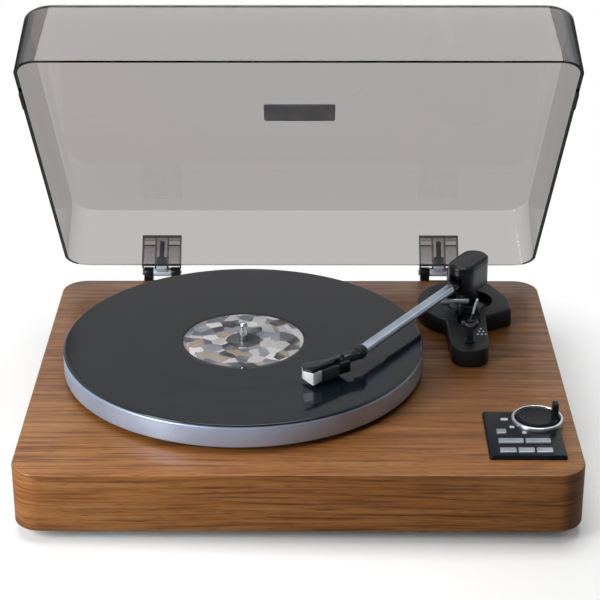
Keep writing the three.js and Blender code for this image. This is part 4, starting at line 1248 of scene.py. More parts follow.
@dataclass
class Case(Assembly):
    """Wooden case with its bottom cover and feet."""

    width: float = 440.0
    depth: float = 364.0
    height: float = 49.5
    corner: float = 22.0
    wall: float = 12.0
    deck_plate: float = 10.0
    edge: float = 1.6
    ledge: float = 4.0
    cover_top: float = -45.5
    foot_radius: float = 19.0
    foot_height: float = 10.0
    foot_seat: float = 1.0
    foot_place: Pair = (176.0, 138.0)
    holes: tuple[tuple[float, Pair], ...] = ((9.3, SPINDLE), (10.0, (-130.44, 87.14)), (11.75, PIVOT))
    tub: tuple[float, float, float, float] = (150.0, 204.0, -155.2, -87.5)
    rear_plate: tuple[float, float, float, float] = (-95.0, -5.0, -41.0, -11.0)
    rear_seat: float = 2.0
    rear_lip: float = 4.0

    def outline(self, distance: float, bottom: float, top: float) -> Prism:
        """Gives an upright solid with the case's outline.

        Args:
            distance: How far the outline is inset, in millimetres.
            bottom: Height of the solid's bottom.
            top: Height of its top.

        Returns:
            The solid.
        """
        half = (self.width / 2 - distance, self.depth / 2 - distance)
        corners = rectangle((-half[0], half[0]), (-half[1], half[1]))
        return Prism(corners, max(self.corner - distance, 4.0), bottom, top, steps=14)

    def build(self) -> None:
        """Makes the case, the feet and the cover below."""
        self.build_case()
        self.build_feet()
        self.bench.dress("bottom_cover", self.palette.board)

    def build_case(self) -> None:
        """Hollows a rounded block from below and cuts its holes for what passes through."""
        body = self.outline(0.0, -self.height, 0.0)
        skin = Prism(body.corners, self.corner, -self.height, 0.0, self.edge, 0.8, 20, 5)
        low = -self.height - OVER
        x0, x1, y0, y1 = self.tub
        p0, p1, q0, q1 = self.rear_plate
        back, lip = self.depth / 2, self.rear_lip
        tools = [
            self.outline(self.wall, low, -self.deck_plate).surface(),
            self.outline(self.wall - self.ledge, low, self.cover_top + GAP).surface(),
            *(drum(radius, -self.deck_plate - OVER, OVER, spot, 12) for radius, spot in self.holes),
            block((x0 - GAP, x1 + GAP), (y0 - GAP, y1 + GAP), (-self.deck_plate - OVER, OVER)),
            block((p0 - GAP, p1 + GAP), (back - self.rear_seat - GAP, back + OVER), (q0 - GAP, q1 + GAP)),
            block((p0 + lip, p1 - lip), (back - self.wall - OVER, back + OVER), (q0 + lip, q1 - lip)),
        ]
        case = self.bench.raw(skin.surface(), self.deck)
        self.bench.carve(case, tools, self.deck, Carve.CUT)
        self.measure_girth(case)
        self.bench.hand_over(case, "case_veneered", Body.CASE, self.palette.walnut, ["plinth_case"], 40.0)

    def measure_girth(self, case: Solid) -> None:
        """Stores the distance round the outline at each point, in metres.

        Along the front and the back it is x; round a corner it adds the corner's radius times the
        angle turned; along an end it adds the distance from the corner.

        Args:
            case: The finished case.
        """
        local = (mesh_points(case.data) - self.deck.origin)[:, :2]
        straight = np.array([self.width / 2 - self.corner, self.depth / 2 - self.corner])
        out = np.maximum(np.abs(local) - straight, 0)
        angle = np.arctan2(out[:, 0], out[:, 1])
        end = straight[1] - np.minimum(np.abs(local[:, 1]), straight[1])
        inner = np.minimum(np.abs(local[:, 0]), straight[0])
        girth = np.sign(local[:, 0]) * (inner + self.corner * angle + np.where(out[:, 0] > 0, end, 0.0))
        store_values(case.data, self.palette.walnut.girth, girth / PER_METRE)

    def build_feet(self) -> None:
        """Turns four rubber feet, each with a shallow ring on its sole."""
        floor = -self.height - self.foot_height
        top = -self.height + self.foot_seat - GAP
        profile = np.array([
            [0, floor + 0.8], [7, floor + 0.8], [8, floor], [15, floor], [17, floor + 1.5], [17.6, floor + 4],
            [self.foot_radius, floor + 5], [self.foot_radius, top], [0, top],
        ])
        radii = [0, 0.3, 0.3, 0.8, 0.8, 0.6, 0.8, 0.4, 0]
        shape = lathe(fillet(profile, radii, 4, closed=False), 72)
        for side, x in (("left", -1), ("right", 1)):
            for end, y in (("front", -1), ("back", 1)):
                spot = self.deck.child((x * self.foot_place[0], y * self.foot_place[1], 0))
                name = f"foot_{end}_{side}"
                self.bench.build(f"rubber_{name}", shape, spot, Body.CASE, self.palette.rubber, [name])


# ---- Platter and record ----


@dataclass
class PlatterSet(Assembly):
    """Platter, mat, record, label and spindle, all turned about one upright axis."""

    centre: Pair = SPINDLE
    radius: float = 151.0
    hole: float = 3.8
    mat_height: float = 21.75
    rib: float = 0.15
    rib_pitch: float = 4.0
    face_height: float = 23.97
    groove: float = 0.05
    groove_start: float = 148.6
    groove_end: float = 56.0
    bands: tuple[float, ...] = (146.0, 124.0, 103.0, 84.0, 66.0)
    axis: Frame = field(init=False)

    def __post_init__(self) -> None:
        """Sets the frame on the spindle's axis."""
        self.axis = self.deck.child((*self.centre, 0.0))

    def build(self) -> None:
        """Makes the visible pieces, and dresses the drive below them."""
        self.build_platter()
        self.build_mat()
        self.build_record()
        self.build_spindle()
        drive = {
            "inner_platter": self.palette.matt_black,
            "bearing_housing": self.palette.brass,
            "drive_belt": self.palette.rubber,
            "drive_motor": self.palette.steel,
            "motor_plate": self.palette.steel,
            "motor_pulley": self.palette.brass,
        }
        for node, finish in drive.items():
            self.bench.dress(node, finish)

    def build_platter(self) -> None:
        """Turns the cast platter: a recessed top and a skirt with softened rims."""
        r = self.radius
        profile = np.array([
            [self.hole, 15.2], [144, 15.2], [146, 13.2], [146, 4], [r, 4], [r, 21.8], [146.3, 21.8],
            [146.3, 20.2], [self.hole, 20.2],
        ])
        radii = [0.2, 2, 2, 0.6, 1.4, 1.2, 0.5, 0.2, 0.2]
        shape = lathe(fillet(profile, radii, 5), 256, closed=True)
        self.turned("platter_turned", shape, self.palette.platter, "platter")

    def turned(self, name: str, shape: Surface, finish: Finish, node: str, sharp: float = SMOOTH) -> None:
        """Hands over one piece that turns about the spindle."""
        self.bench.build(name, shape, self.axis, Body.PLATTER, finish, [node], sharp)

    def build_mat(self) -> None:
        """Turns the mat with a low rim and shallow rings on its face."""
        radius = np.linspace(10, 143, 267)
        rings = self.mat_height + self.rib * np.cos(radius * 2 * math.pi / self.rib_pitch) ** 8
        top = np.column_stack([radius, rings])[::-1]
        outline = np.vstack([
            [[self.hole, 20.5], [145.6, 20.5], [146, 20.9], [146, 21.6], [145.6, 21.9], [144, 21.9]],
            top,
            [[self.hole, self.mat_height]],
        ])
        self.turned("mat_ribbed", lathe(outline, 160, closed=True), self.palette.rubber, "slip_mat", SHARP)

    def build_record(self) -> None:
        """Turns the record: a beaded rim, sunken groove bands with lands between, and its label."""
        radius = np.linspace(self.groove_start, self.groove_end, 364)
        edges = np.array(self.bands)
        nearest = np.abs(radius[:, None] - edges[None, :]).min(1)
        groove = self.groove * (1 - np.exp(-((nearest / 0.9) ** 2)))
        groove *= np.clip((self.groove_start - radius) / 1.5, 0, 1) * np.clip((radius - self.groove_end) / 2, 0, 1)
        face = np.column_stack([radius, self.face_height - groove])
        rim = np.array([
            [self.hole, 22.2], [148.5, 22.2], [150.2, 22.3], [150.8, 22.7], [151, 23.1], [150.8, 23.5], [150.2, 23.9],
            [149.4, 24.0],
        ])
        middle = np.array([[55, 24.0], [51.9, 24.0], [51.7, 23.9], [51.7, 23.55], [self.hole, 23.55]])
        shape = lathe(np.vstack([rim, face, middle]), 256, closed=True)
        self.turned("record_pressed", shape, self.palette.vinyl, "record")
        label = np.array([[self.hole, 23.7], [51.4, 23.7], [51.4, 24.0], [self.hole, 24.0]])
        shape = lathe(fillet(label, [0.05, 0.05, 0.12, 0.1], 3), 192, closed=True)
        self.turned("label_printed", shape, self.palette.label, "record_label")

    def build_spindle(self) -> None:
        """Turns the spindle with a rounded tip."""
        profile = np.array([[0, -33.7], [3.5, -33.7], [3.5, 38.2], [2.6, 40.5], [0, 40.5]])
        shape = lathe(fillet(profile, [0, 0.4, 1.5, 1.4, 0], 6, False), 48)
        self.turned("spindle_polished", shape, self.palette.chrome, "spindle", SHARP)


# ---- Tonearm base ----


@dataclass
class ArmBase(Assembly):
    """Fixed base with its leg, post, arm rest, lift bar and cue lever, round the arm's pivot."""

    pivot: Pair = PIVOT
    radius: float = 43.5
    height: float = 16.5
    flats: tuple[Pair, ...] = ((38.5, 0.0), (36.0, -58.5), (37.0, 24.0))
    leg_x: float = -3.2
    leg_half: float = 15.4
    leg_shoulder: float = 18.5
    leg_reach: float = 102.4
    leg_root: float = -15.0
    leg_height: float = 16.0
    well: float = 23.5
    well_floor: float = 9.5
    rest: Pair = (-3.8, -84.5)
    rest_height: float = 33.5
    lift_stem: Pair = (-7.0, -29.0)
    lift_height: float = 28.6
    axis: Frame = field(init=False)

    def __post_init__(self) -> None:
        """Sets the frame on the pivot's axis."""
        self.axis = self.deck.child((*self.pivot, 0.0))

    def build(self) -> None:
        """Makes every fixed and small moving piece of the base."""
        self.build_base()
        self.build_post()
        self.build_rest()
        self.build_lift()
        self.build_lever()
        self.build_marks()

    def disc(self) -> Surface:
        """Draws the disc: its radius is the least of the circle's and each flat's d / cos(a - a_flat).

        Returns:
            The surface.
        """
        angle = np.radians(np.arange(0, 360, 1.5))
        radius = np.full_like(angle, self.radius)
        for distance, place in self.flats:
            lean = np.cos(angle - math.radians(place))
            radius = np.minimum(radius, np.where(lean > 0.2, distance / np.maximum(lean, 0.2), self.radius))
        turn = np.linspace(0, math.pi / 2, 6)
        levels = [(0.6, GAP), (0.0, GAP + 0.6)]
        levels += [(2.0 * (1 - math.cos(a)), self.height - 2.0 * (1 - math.sin(a))) for a in turn]
        rings = [
            np.stack([(radius - d) * np.cos(angle), (radius - d) * np.sin(angle), np.full_like(angle, z)], -1)
            for d, z in levels
        ]
        return loft(np.stack(rings))

    def leg(self) -> Surface:
        """Draws the leg: a tapering strip with a round end and a softened top edge.

        Returns:
            The surface.
        """
        left, right = self.leg_x - self.leg_half, self.leg_x + self.leg_half
        corners = np.array([
            [left, -self.leg_reach], [right, -self.leg_reach],
            [self.leg_x + self.leg_shoulder, self.leg_root], [self.leg_x - self.leg_shoulder, self.leg_root],
        ], float)
        return Prism(corners, [self.leg_half - 0.4] * 2 + [1.0] * 2, GAP, self.leg_height, 0.9, 0.4, 14, 4).surface()

    def build_base(self) -> None:
        """Joins the disc and the leg, then cuts the well, the lever's slot and the front groove."""
        bench = self.bench
        base = bench.raw(self.disc(), self.axis)
        bench.carve(base, [self.leg()], self.axis, Carve.JOIN)
        tools = [
            drum(self.well, self.well_floor, self.height + OVER),
            block((-11, 9), (-48, 0), (self.well_floor + 0.01, self.height + OVER)),
            drum(3.3, -OVER, self.well_floor + OVER),
            drum(2.5, 1.5, self.well_floor + 2, self.lift_stem),
            block((-4.8, -2.8), (-78.5, -52), (self.leg_height - 1, self.leg_height + OVER)),
        ]
        bench.carve(base, tools, self.axis, Carve.CUT)
        bench.hand_over(base, "arm_base_moulded", Body.CASE, self.palette.matt_black, ["arm_base"], 34.0)

    def build_post(self) -> None:
        """Turns the post that carries the housing."""
        low = self.well_floor + GAP
        profile = np.array([[3.3, low], [15.5, low], [15.5, 12], [10.5, 12.6], [9, 14.2], [9, 29.7], [3.3, 29.7]])
        shape = lathe(fillet(profile, [0.1, 0.4, 0.8, 1.0, 1.2, 0.6, 0.2], 4), 72, closed=True)
        self.bench.build("arm_post_turned", shape, self.axis, Body.CASE, self.palette.satin_black, ["arm_post"])

    def build_rest(self) -> None:
        """Makes the stem, its foot and the cradle: half an ellipse with a round dip and two round lips."""
        bench = self.bench
        spot = self.axis.child((*self.rest, 0.0))
        out = np.linspace(0, -math.pi, 25)
        outer = np.column_stack([7.0 * np.cos(out), self.rest_height + 6.0 * np.sin(out)])
        reach = math.asin(2.3 / 4.8)
        dip_angle = np.linspace(-math.pi + reach, -reach, 17)
        dip = np.column_stack([4.8 * np.cos(dip_angle), 35.8 + 4.8 * np.sin(dip_angle)])
        flat = np.vstack([outer, dip])
        middle = flat.mean(0)
        rings = []
        for depth, share in ((-3.0, 0.94), (-2.6, 1.0), (2.6, 1.0), (3.0, 0.94)):
            x, z = ((flat - middle) * share + middle).T
            rings.append(np.column_stack([x, np.full(len(flat), depth), z]))
        cradle = bench.raw(loft(np.stack(rings)), spot)
        parts = [block((-2.9, 2.9), (-2.5, 2.5), (17.5, 29.0), 0.6), block((-4.4, 4.4), (-4, 4), (16.3, 18.3), 0.5)]
        parts += [capsule((x, -3.1, 33.3), (x, 3.1, 33.3), 1.5) for x in (-5.9, 5.9)]
        bench.carve(cradle, parts, spot, Carve.JOIN)
        bench.hand_over(cradle, "arm_rest_cradle", Body.CASE, self.palette.satin_black, ["arm_rest"], 40.0)

    def build_lift(self) -> None:
        """Makes the silver bar that lifts the tube, and its black stem."""
        bench = self.bench
        x, y = self.lift_stem
        bar = capsule((-26, y, self.lift_height), (0, y, self.lift_height), 2.2)
        bench.build("lift_bar_round", bar, self.axis, Body.LIFT, self.palette.silver, ["lift_bar"], SMOOTH)
        stem = capsule((x, y, 2), (x, y, 28.0), 2.15, (0, 1, 0), 0.2)
        bench.build("lift_bar_stem", stem, self.axis, Body.LIFT, self.palette.satin_black, (), SMOOTH)

    def build_lever(self) -> None:
        """Makes the cue lever: a black cross hub with a sleeve, and a bent chrome rod."""
        bench = self.bench
        hub = bench.raw(capsule((-2, -38, 12.5), (8.7, -38, 12.5), 2.4, round_end=0.3), self.axis)
        bends = np.array([[1, -38, 12.5], [2.6, -36.0, 17.5], [4.9, -31.8, 24.5], [7.5, -27.5, 30.5]])
        route = smooth_path(bends, 40)
        sleeve = sweep(route[:17], np.linspace(1.9, 1.5, 17), 20, 1.0, (1, 0, 0))
        bench.carve(hub, [sleeve], self.axis, Carve.JOIN)
        bench.hand_over(hub, "cue_lever_hub", Body.LEVER, self.palette.satin_black, ["cue_lever"], SMOOTH)
        width = np.concatenate([np.full(19, 1.05), np.linspace(1.1, 1.25, 3), [1.1, 0.75, 0.2]])
        rod = sweep(route[15:], width, 20, 1.0, (1, 0, 0))
        bench.build("cue_lever_rod", rod, self.axis, Body.LEVER, self.palette.chrome, (), 60.0)

    def build_marks(self) -> None:
        """Sets the printed arrow of small raised dots on the leg."""
        dots = [(8.2, -59.0), (6.4, -64.5), (9.9, -64.5), (4.6, -70.0), (8.1, -70.0), (11.6, -70.0)]
        low = self.leg_height
        surfaces = [
            Prism(rectangle((x - 1.0, x + 1.0), (y - 1.3, y + 1.3)), 0.95, low - 0.05, low + 0.06, steps=5).surface()
            for x, y in dots
        ]
        self.bench.build("lever_arrow_dots", joined(surfaces), self.axis, Body.CASE, self.palette.print_white)


# ---- Tonearm ----


@dataclass
class Tonearm(Assembly):
    """Housing, tube and head, drawn along the arm from its pivot."""

    pivot: Pair = PIVOT
    direction: float = 236.7
    height: float = 38.6
    housing_length: float = 20.9
    housing_radius: float = 12.6
    setback: float = 1.5
    tube_radius: float = 4.5
    tube_end: float = 175.5
    collar_length: float = 9.0
    collar_ribs: int = 24
    head_joint: float = 184.5
    head_turn: float = -22.7
    arm: Frame = field(init=False)
    head: Frame = field(init=False)

    def __post_init__(self) -> None:
        """Sets the arm's frame on the pivot, and the head's frame at the collar."""
        self.arm = self.deck.child((*self.pivot, 0.0), turn_about("z", self.direction))
        self.head = self.arm.child((self.head_joint, 0.0, 0.0), turn_about("z", self.head_turn))

    def build(self) -> None:
        """Makes the turning housing and the tilting arm."""
        self.build_housing()
        self.build_inside()
        self.build_tube()
        self.build_head()

    def stadium(self, distance: float, bottom: float, top: float, edge: float = 0.0) -> Prism:
        """Gives an upright solid of the housing's outline.

        Args:
            distance: How far the outline is inset, in millimetres.
            bottom: Height of the solid's bottom.
            top: Height of its top.
            edge: Radius of its top edge.

        Returns:
            The solid.
        """
        half = self.housing_length / 2 + self.housing_radius - distance
        side = self.housing_radius - distance
        corners = rectangle((-half - self.setback, half - self.setback), (-side, side))
        return Prism(corners, side * FULL_ROUND, bottom, top, edge, 0.5 if edge else 0.0, 16, 4)

    def build_housing(self) -> None:
        """Makes the shell with its front slot, and the bevelled cap over a thin seam."""
        bench = self.bench
        shell = bench.raw(self.stadium(0, 30, 51.7, 0.35).surface(), self.arm)
        slot = Prism(rectangle((0, 40), (-5.5, 5.5)), 0.02, 33.5, 47.3).surface()
        bore = lathe(np.array([[0, 29], [3.3, 29], [3.3, 33], [0, 33]]), 32)
        bench.carve(shell, [self.stadium(2.2, 32.2, 53).surface(), slot, bore], self.arm, Carve.CUT)
        bench.hand_over(shell, "arm_housing_shell", Body.TURRET, self.palette.satin_black, ["arm_housing"], 40.0)
        levels = [
            (0.3, 52.0), (0.0, 52.3), (0.0, 53.9), (0.15, 54.25), (1.9, 55.75), (2.4, 56.0), (3.2, 56.0),
            (3.5, 55.75),
        ]
        cap, black = self.stadium(0, 52, 56).stack(levels), self.palette.satin_black
        bench.build("arm_housing_cap_bevelled", cap, self.arm, Body.TURRET, black, ["arm_housing_cap"], 24.0)

    def build_inside(self) -> None:
        """Refines the shaft, the yoke, the axle and the weight inside the housing."""
        inside = {
            "arm_turning_shaft": (Body.TURRET, self.palette.steel),
            "arm_yoke": (Body.TONEARM, self.palette.matt_black),
            "arm_axle": (Body.TURRET, self.palette.steel),
            "counterweight": (Body.TONEARM, self.palette.steel),
        }
        for node, (body, finish) in inside.items():
            self.bench.refine(node, f"{node}_finished", body, finish)

    def along(self, profile: Array, segments: int = 48, closed: bool = False) -> Surface:
        """Turns a profile of (radius, distance from the pivot) about the arm's axis."""
        return lathe(profile, segments, closed).laid([2, 0, 1], (0.0, 0.0, self.height))

    def build_tube(self) -> None:
        """Makes the tube, the dark cuff at the housing and the ribbed locking collar."""
        bench, r, black = self.bench, self.tube_radius, self.palette.satin_black
        tube = np.array([[r - 0.8, 6.3], [r, 6.3], [r, self.tube_end], [r - 0.8, self.tube_end]])
        shape = self.along(fillet(tube, [0.1, 0.2, 0.25, 0.1], 3), 56, True)
        bench.build("arm_tube_drawn", shape, self.arm, Body.TONEARM, self.palette.tube, ["arm_tube"], SMOOTH)
        cuff = np.array([[r + 0.02, 20.0], [5.2, 20.0], [5.35, 29.5], [4.9, 31.2], [r + 0.02, 31.2]])
        shape = self.along(fillet(cuff, [0.05, 0.3, 0.5, 0.4, 0.05], 4), 48, True)
        bench.build("arm_tube_cuff", shape, self.arm, Body.TONEARM, black)
        collar = bench.raw(self.collar(), self.arm)
        near, far = self.tube_end - 6, self.tube_end + GAP + 1
        spigot = np.array([[0, near], [3.4, near], [3.4, far], [0, far]])
        bench.carve(collar, [self.along(spigot, 32)], self.arm, Carve.JOIN)
        bench.hand_over(collar, "headshell_collar_ribbed", Body.TONEARM, black, ["headshell_collar"], 30.0)

    def collar(self) -> Surface:
        """Draws the collar: its radius is 5.1 + 0.85 / (1 + (d / 1.6)^6), d from its middle, plus ribs.

        Returns:
            The surface.
        """
        start, length = self.tube_end + GAP, self.collar_length
        place = np.linspace(start, start + length, 46)
        middle = place - start - length / 2
        bead = 5.1 + 0.85 / (1 + (middle / 1.6) ** 6)
        ease = np.minimum(place - start, start + length - place)
        bead -= 0.45 * np.exp(-((ease / 0.35) ** 2))
        angle = np.arange(96) * 2 * math.pi / 96
        ribs = np.where(np.abs(middle) < 1.7, 0.14, 0.0)[:, None] * np.cos(angle * self.collar_ribs)[None, :]
        radius = bead[:, None] + ribs
        along = np.broadcast_to(place[:, None], radius.shape)
        return loft(np.stack([along, radius * np.cos(angle), self.height + radius * np.sin(angle)], -1))

    def build_head(self) -> None:
        """Makes the headshell, the cartridge, the pale stylus holder and the finger lift."""
        bench, palette = self.bench, self.palette
        bench.refine("headshell", "headshell_moulded", Body.TONEARM, palette.gloss_black, 0.35, 34.0)
        body = Prism(rectangle((22.3, 39.7), (-7.65, 7.65)), 0.8, 27.6, 37.5, 0.6, 0.8, 4, 4).surface()
        bench.build("cartridge_body", body, self.head, Body.TONEARM, palette.body_grey, ["cartridge"])
        bench.refine("stylus_holder", "stylus_holder_moulded", Body.TONEARM, palette.white, 0.4, 34.0)
        bench.refine("stylus", "stylus_tip", Body.TONEARM, palette.chrome, sharp=SMOOTH)
        route = smooth_path(np.array([[20, 2.6, 41.8], [30, 3.4, 41.8], [43.5, 6, 41.8], [54.5, 5, 42.8]]), 40)
        width = 1.6 * np.clip(np.minimum(np.linspace(0, 12, 40), np.linspace(12, 0, 40)) + 0.35, 0, 1) ** 0.5
        lift = bench.raw(sweep(route, width, 24, 0.4), self.head)
        bench.carve(lift, [block((19, 23.5), (0.8, 3.8), (40.2, 42.1), 0.3)], self.head, Carve.JOIN)
        bench.hand_over(lift, "finger_lift_strip", Body.TONEARM, palette.gloss_black, ["finger_lift"], SMOOTH)


# ---- Control panel ----


@dataclass
class ControlPanel(Assembly):
    """Panel with its buttons, selector and printed marks."""

    left: float = 147.0
    right: float = 207.0
    front: float = -158.2
    back: float = -84.5
    height: float = 3.5
    selector: Pair = (189.8, -99.5)
    ring_radius: float = 20.6
    ring_inside: float = 17.0
    ring_split: float = 18.4
    dial_radius: float = 16.7
    tub_lip: float = 3.0
    tub_floor: float = -10.0
    button_half: float = 3.5
    buttons: dict[Body, tuple[float, float, float]] = field(default_factory=lambda: {
        Body.SMALL_LEFT: (155.6, 168.267, -149.8), Body.SMALL_MIDDLE: (169.667, 182.333, -149.8),
        Body.SMALL_RIGHT: (183.733, 196.4, -149.8), Body.WIDE_LEFT: (155.6, 175.3, -134.8),
        Body.WIDE_RIGHT: (176.7, 196.4, -134.8), Body.SQUARE: (155.6, 163.3, -119.8),
    })

    def build(self) -> None:
        """Makes the plate, the buttons, the selector and the marks."""
        self.build_plate()
        self.build_buttons()
        self.build_selector()
        self.build_marks()
        self.bench.dress("control_board", self.palette.circuit)

    def build_plate(self) -> None:
        """Cuts the plate for the selector's ring and the buttons, over a tub through the deck."""
        bench = self.bench
        corners = rectangle((self.left, self.right), (self.front, self.back))
        base = Prism(corners, 2.0, GAP, self.height, steps=5)
        levels = [(0.0, GAP), (0.0, 1.7), (0.15, 2.1), (1.2, 3.3), (1.8, self.height)]
        plate = bench.raw(base.stack(levels), self.deck)
        x, y = self.selector
        seat = drum(self.ring_radius + GAP, 0.15, 5, self.selector, 18)
        corner = block((x, self.right + OVER), (y, self.back + OVER), (0.15, 5))
        bench.carve(plate, [seat, corner], self.deck, Carve.CUT)
        lip = self.tub_lip
        inside = rectangle((self.left + lip, self.right - lip), (self.front + lip, self.back - lip))
        tub = Prism(inside, 1.0, self.tub_floor, GAP + 0.01, steps=3).surface()
        bench.carve(plate, [tub], self.deck, Carve.JOIN)
        low, half = self.tub_floor - OVER, self.button_half + GAP
        holes = [Prism(rectangle((x - 3.8, x + 3.8), (y - 3.8, y + 3.8)), 3.79, low, 1.3, steps=8).surface()]
        for x0, x1, mid in self.buttons.values():
            around = rectangle((x0 - GAP, x1 + GAP), (mid - half, mid + half))
            holes.append(Prism(around, 0.9, low, 5, steps=4).surface())
        bench.carve(plate, holes, self.deck, Carve.CUT)
        bench.hand_over(plate, "control_plate", Body.CASE, self.palette.panel_black, ["control_panel"], 26.0)

    def build_buttons(self) -> None:
        """Makes the six push buttons with softened crowns."""
        half = self.button_half
        for body, (x0, x1, mid) in self.buttons.items():
            node = f"button_{body.value.removesuffix('_key')}"
            cap = Prism(rectangle((x0, x1), (mid - half, mid + half)), 0.8, -9.0, 4.8, 0.6, 0.0, 4, 4).surface()
            self.bench.build(f"{node}_cap", cap, self.deck, body, self.palette.silver, [node])

    def build_selector(self) -> None:
        """Turns the silver ring with its black liner, and the dished dial with its finger tab."""
        bench, palette = self.bench, self.palette
        spot = self.deck.child((*self.selector, 0.0))
        inside, outside, split = self.ring_inside, self.ring_radius, self.ring_split
        ring = np.array([[split, 0.6], [outside, 0.6], [outside, 6.5], [split, 6.5]])
        shape = lathe(fillet(ring, [0.2, 0.3, 1.3, 0.7], 6), 160, closed=True)
        bench.build("selector_ring_turned", shape, spot, Body.CASE, palette.ring, ["selector_ring"], SMOOTH)
        liner = np.array([[inside, 0.6], [split - 0.03, 0.6], [split - 0.03, 5.8], [inside, 4.6]])
        shape = lathe(fillet(liner, [0.2, 0.2, 0.2, 0.3], 4), 128, closed=True)
        bench.build("selector_ring_liner", shape, spot, Body.CASE, palette.gloss_black, (), SMOOTH)
        r = self.dial_radius
        profile = np.array([
            [0, -9.1], [3.5, -9.1], [3.5, 0.6], [r, 0.6], [r, 5.4], [r - 1.6, 7.0], [r - 2.6, 7.4], [r - 3.4, 6.8],
            [0, 6.5],
        ])
        dial = bench.raw(lathe(fillet(profile, [0, 0.3, 0.1, 0.3, 0.5, 0.8, 0.5, 0.8, 0], 5, False), 128), spot)
        fin = Prism(rectangle((11.3, 16.3), (-4, 4)), 1.6, 5.3, 19.0, 1.2, 0.0, 6, 5).surface()
        bench.carve(dial, [fin], spot, Carve.JOIN)
        bench.hand_over(dial, "selector_dial_turned", Body.SELECTOR, palette.dial_black, ["selector_dial"], 40.0)

    def build_marks(self) -> None:
        """Prints three short marks round the selector as thin raised bars."""
        bars = [(160.7, 166.5, -100.5, -96.5), (166.6, 170.4, -113.4, -109.4), (175.6, 178.9, -122.7, -118.7)]
        surfaces = [
            Prism(rectangle((x0, x1), (y0, y1)), 1.1, self.height - 0.05, self.height + 0.07, steps=4).surface()
            for x0, x1, y0, y1 in bars
        ]
        self.bench.build("speed_marks", joined(surfaces), self.deck, Body.CASE, self.palette.print_white)


# ---- Dust cover and hinges ----


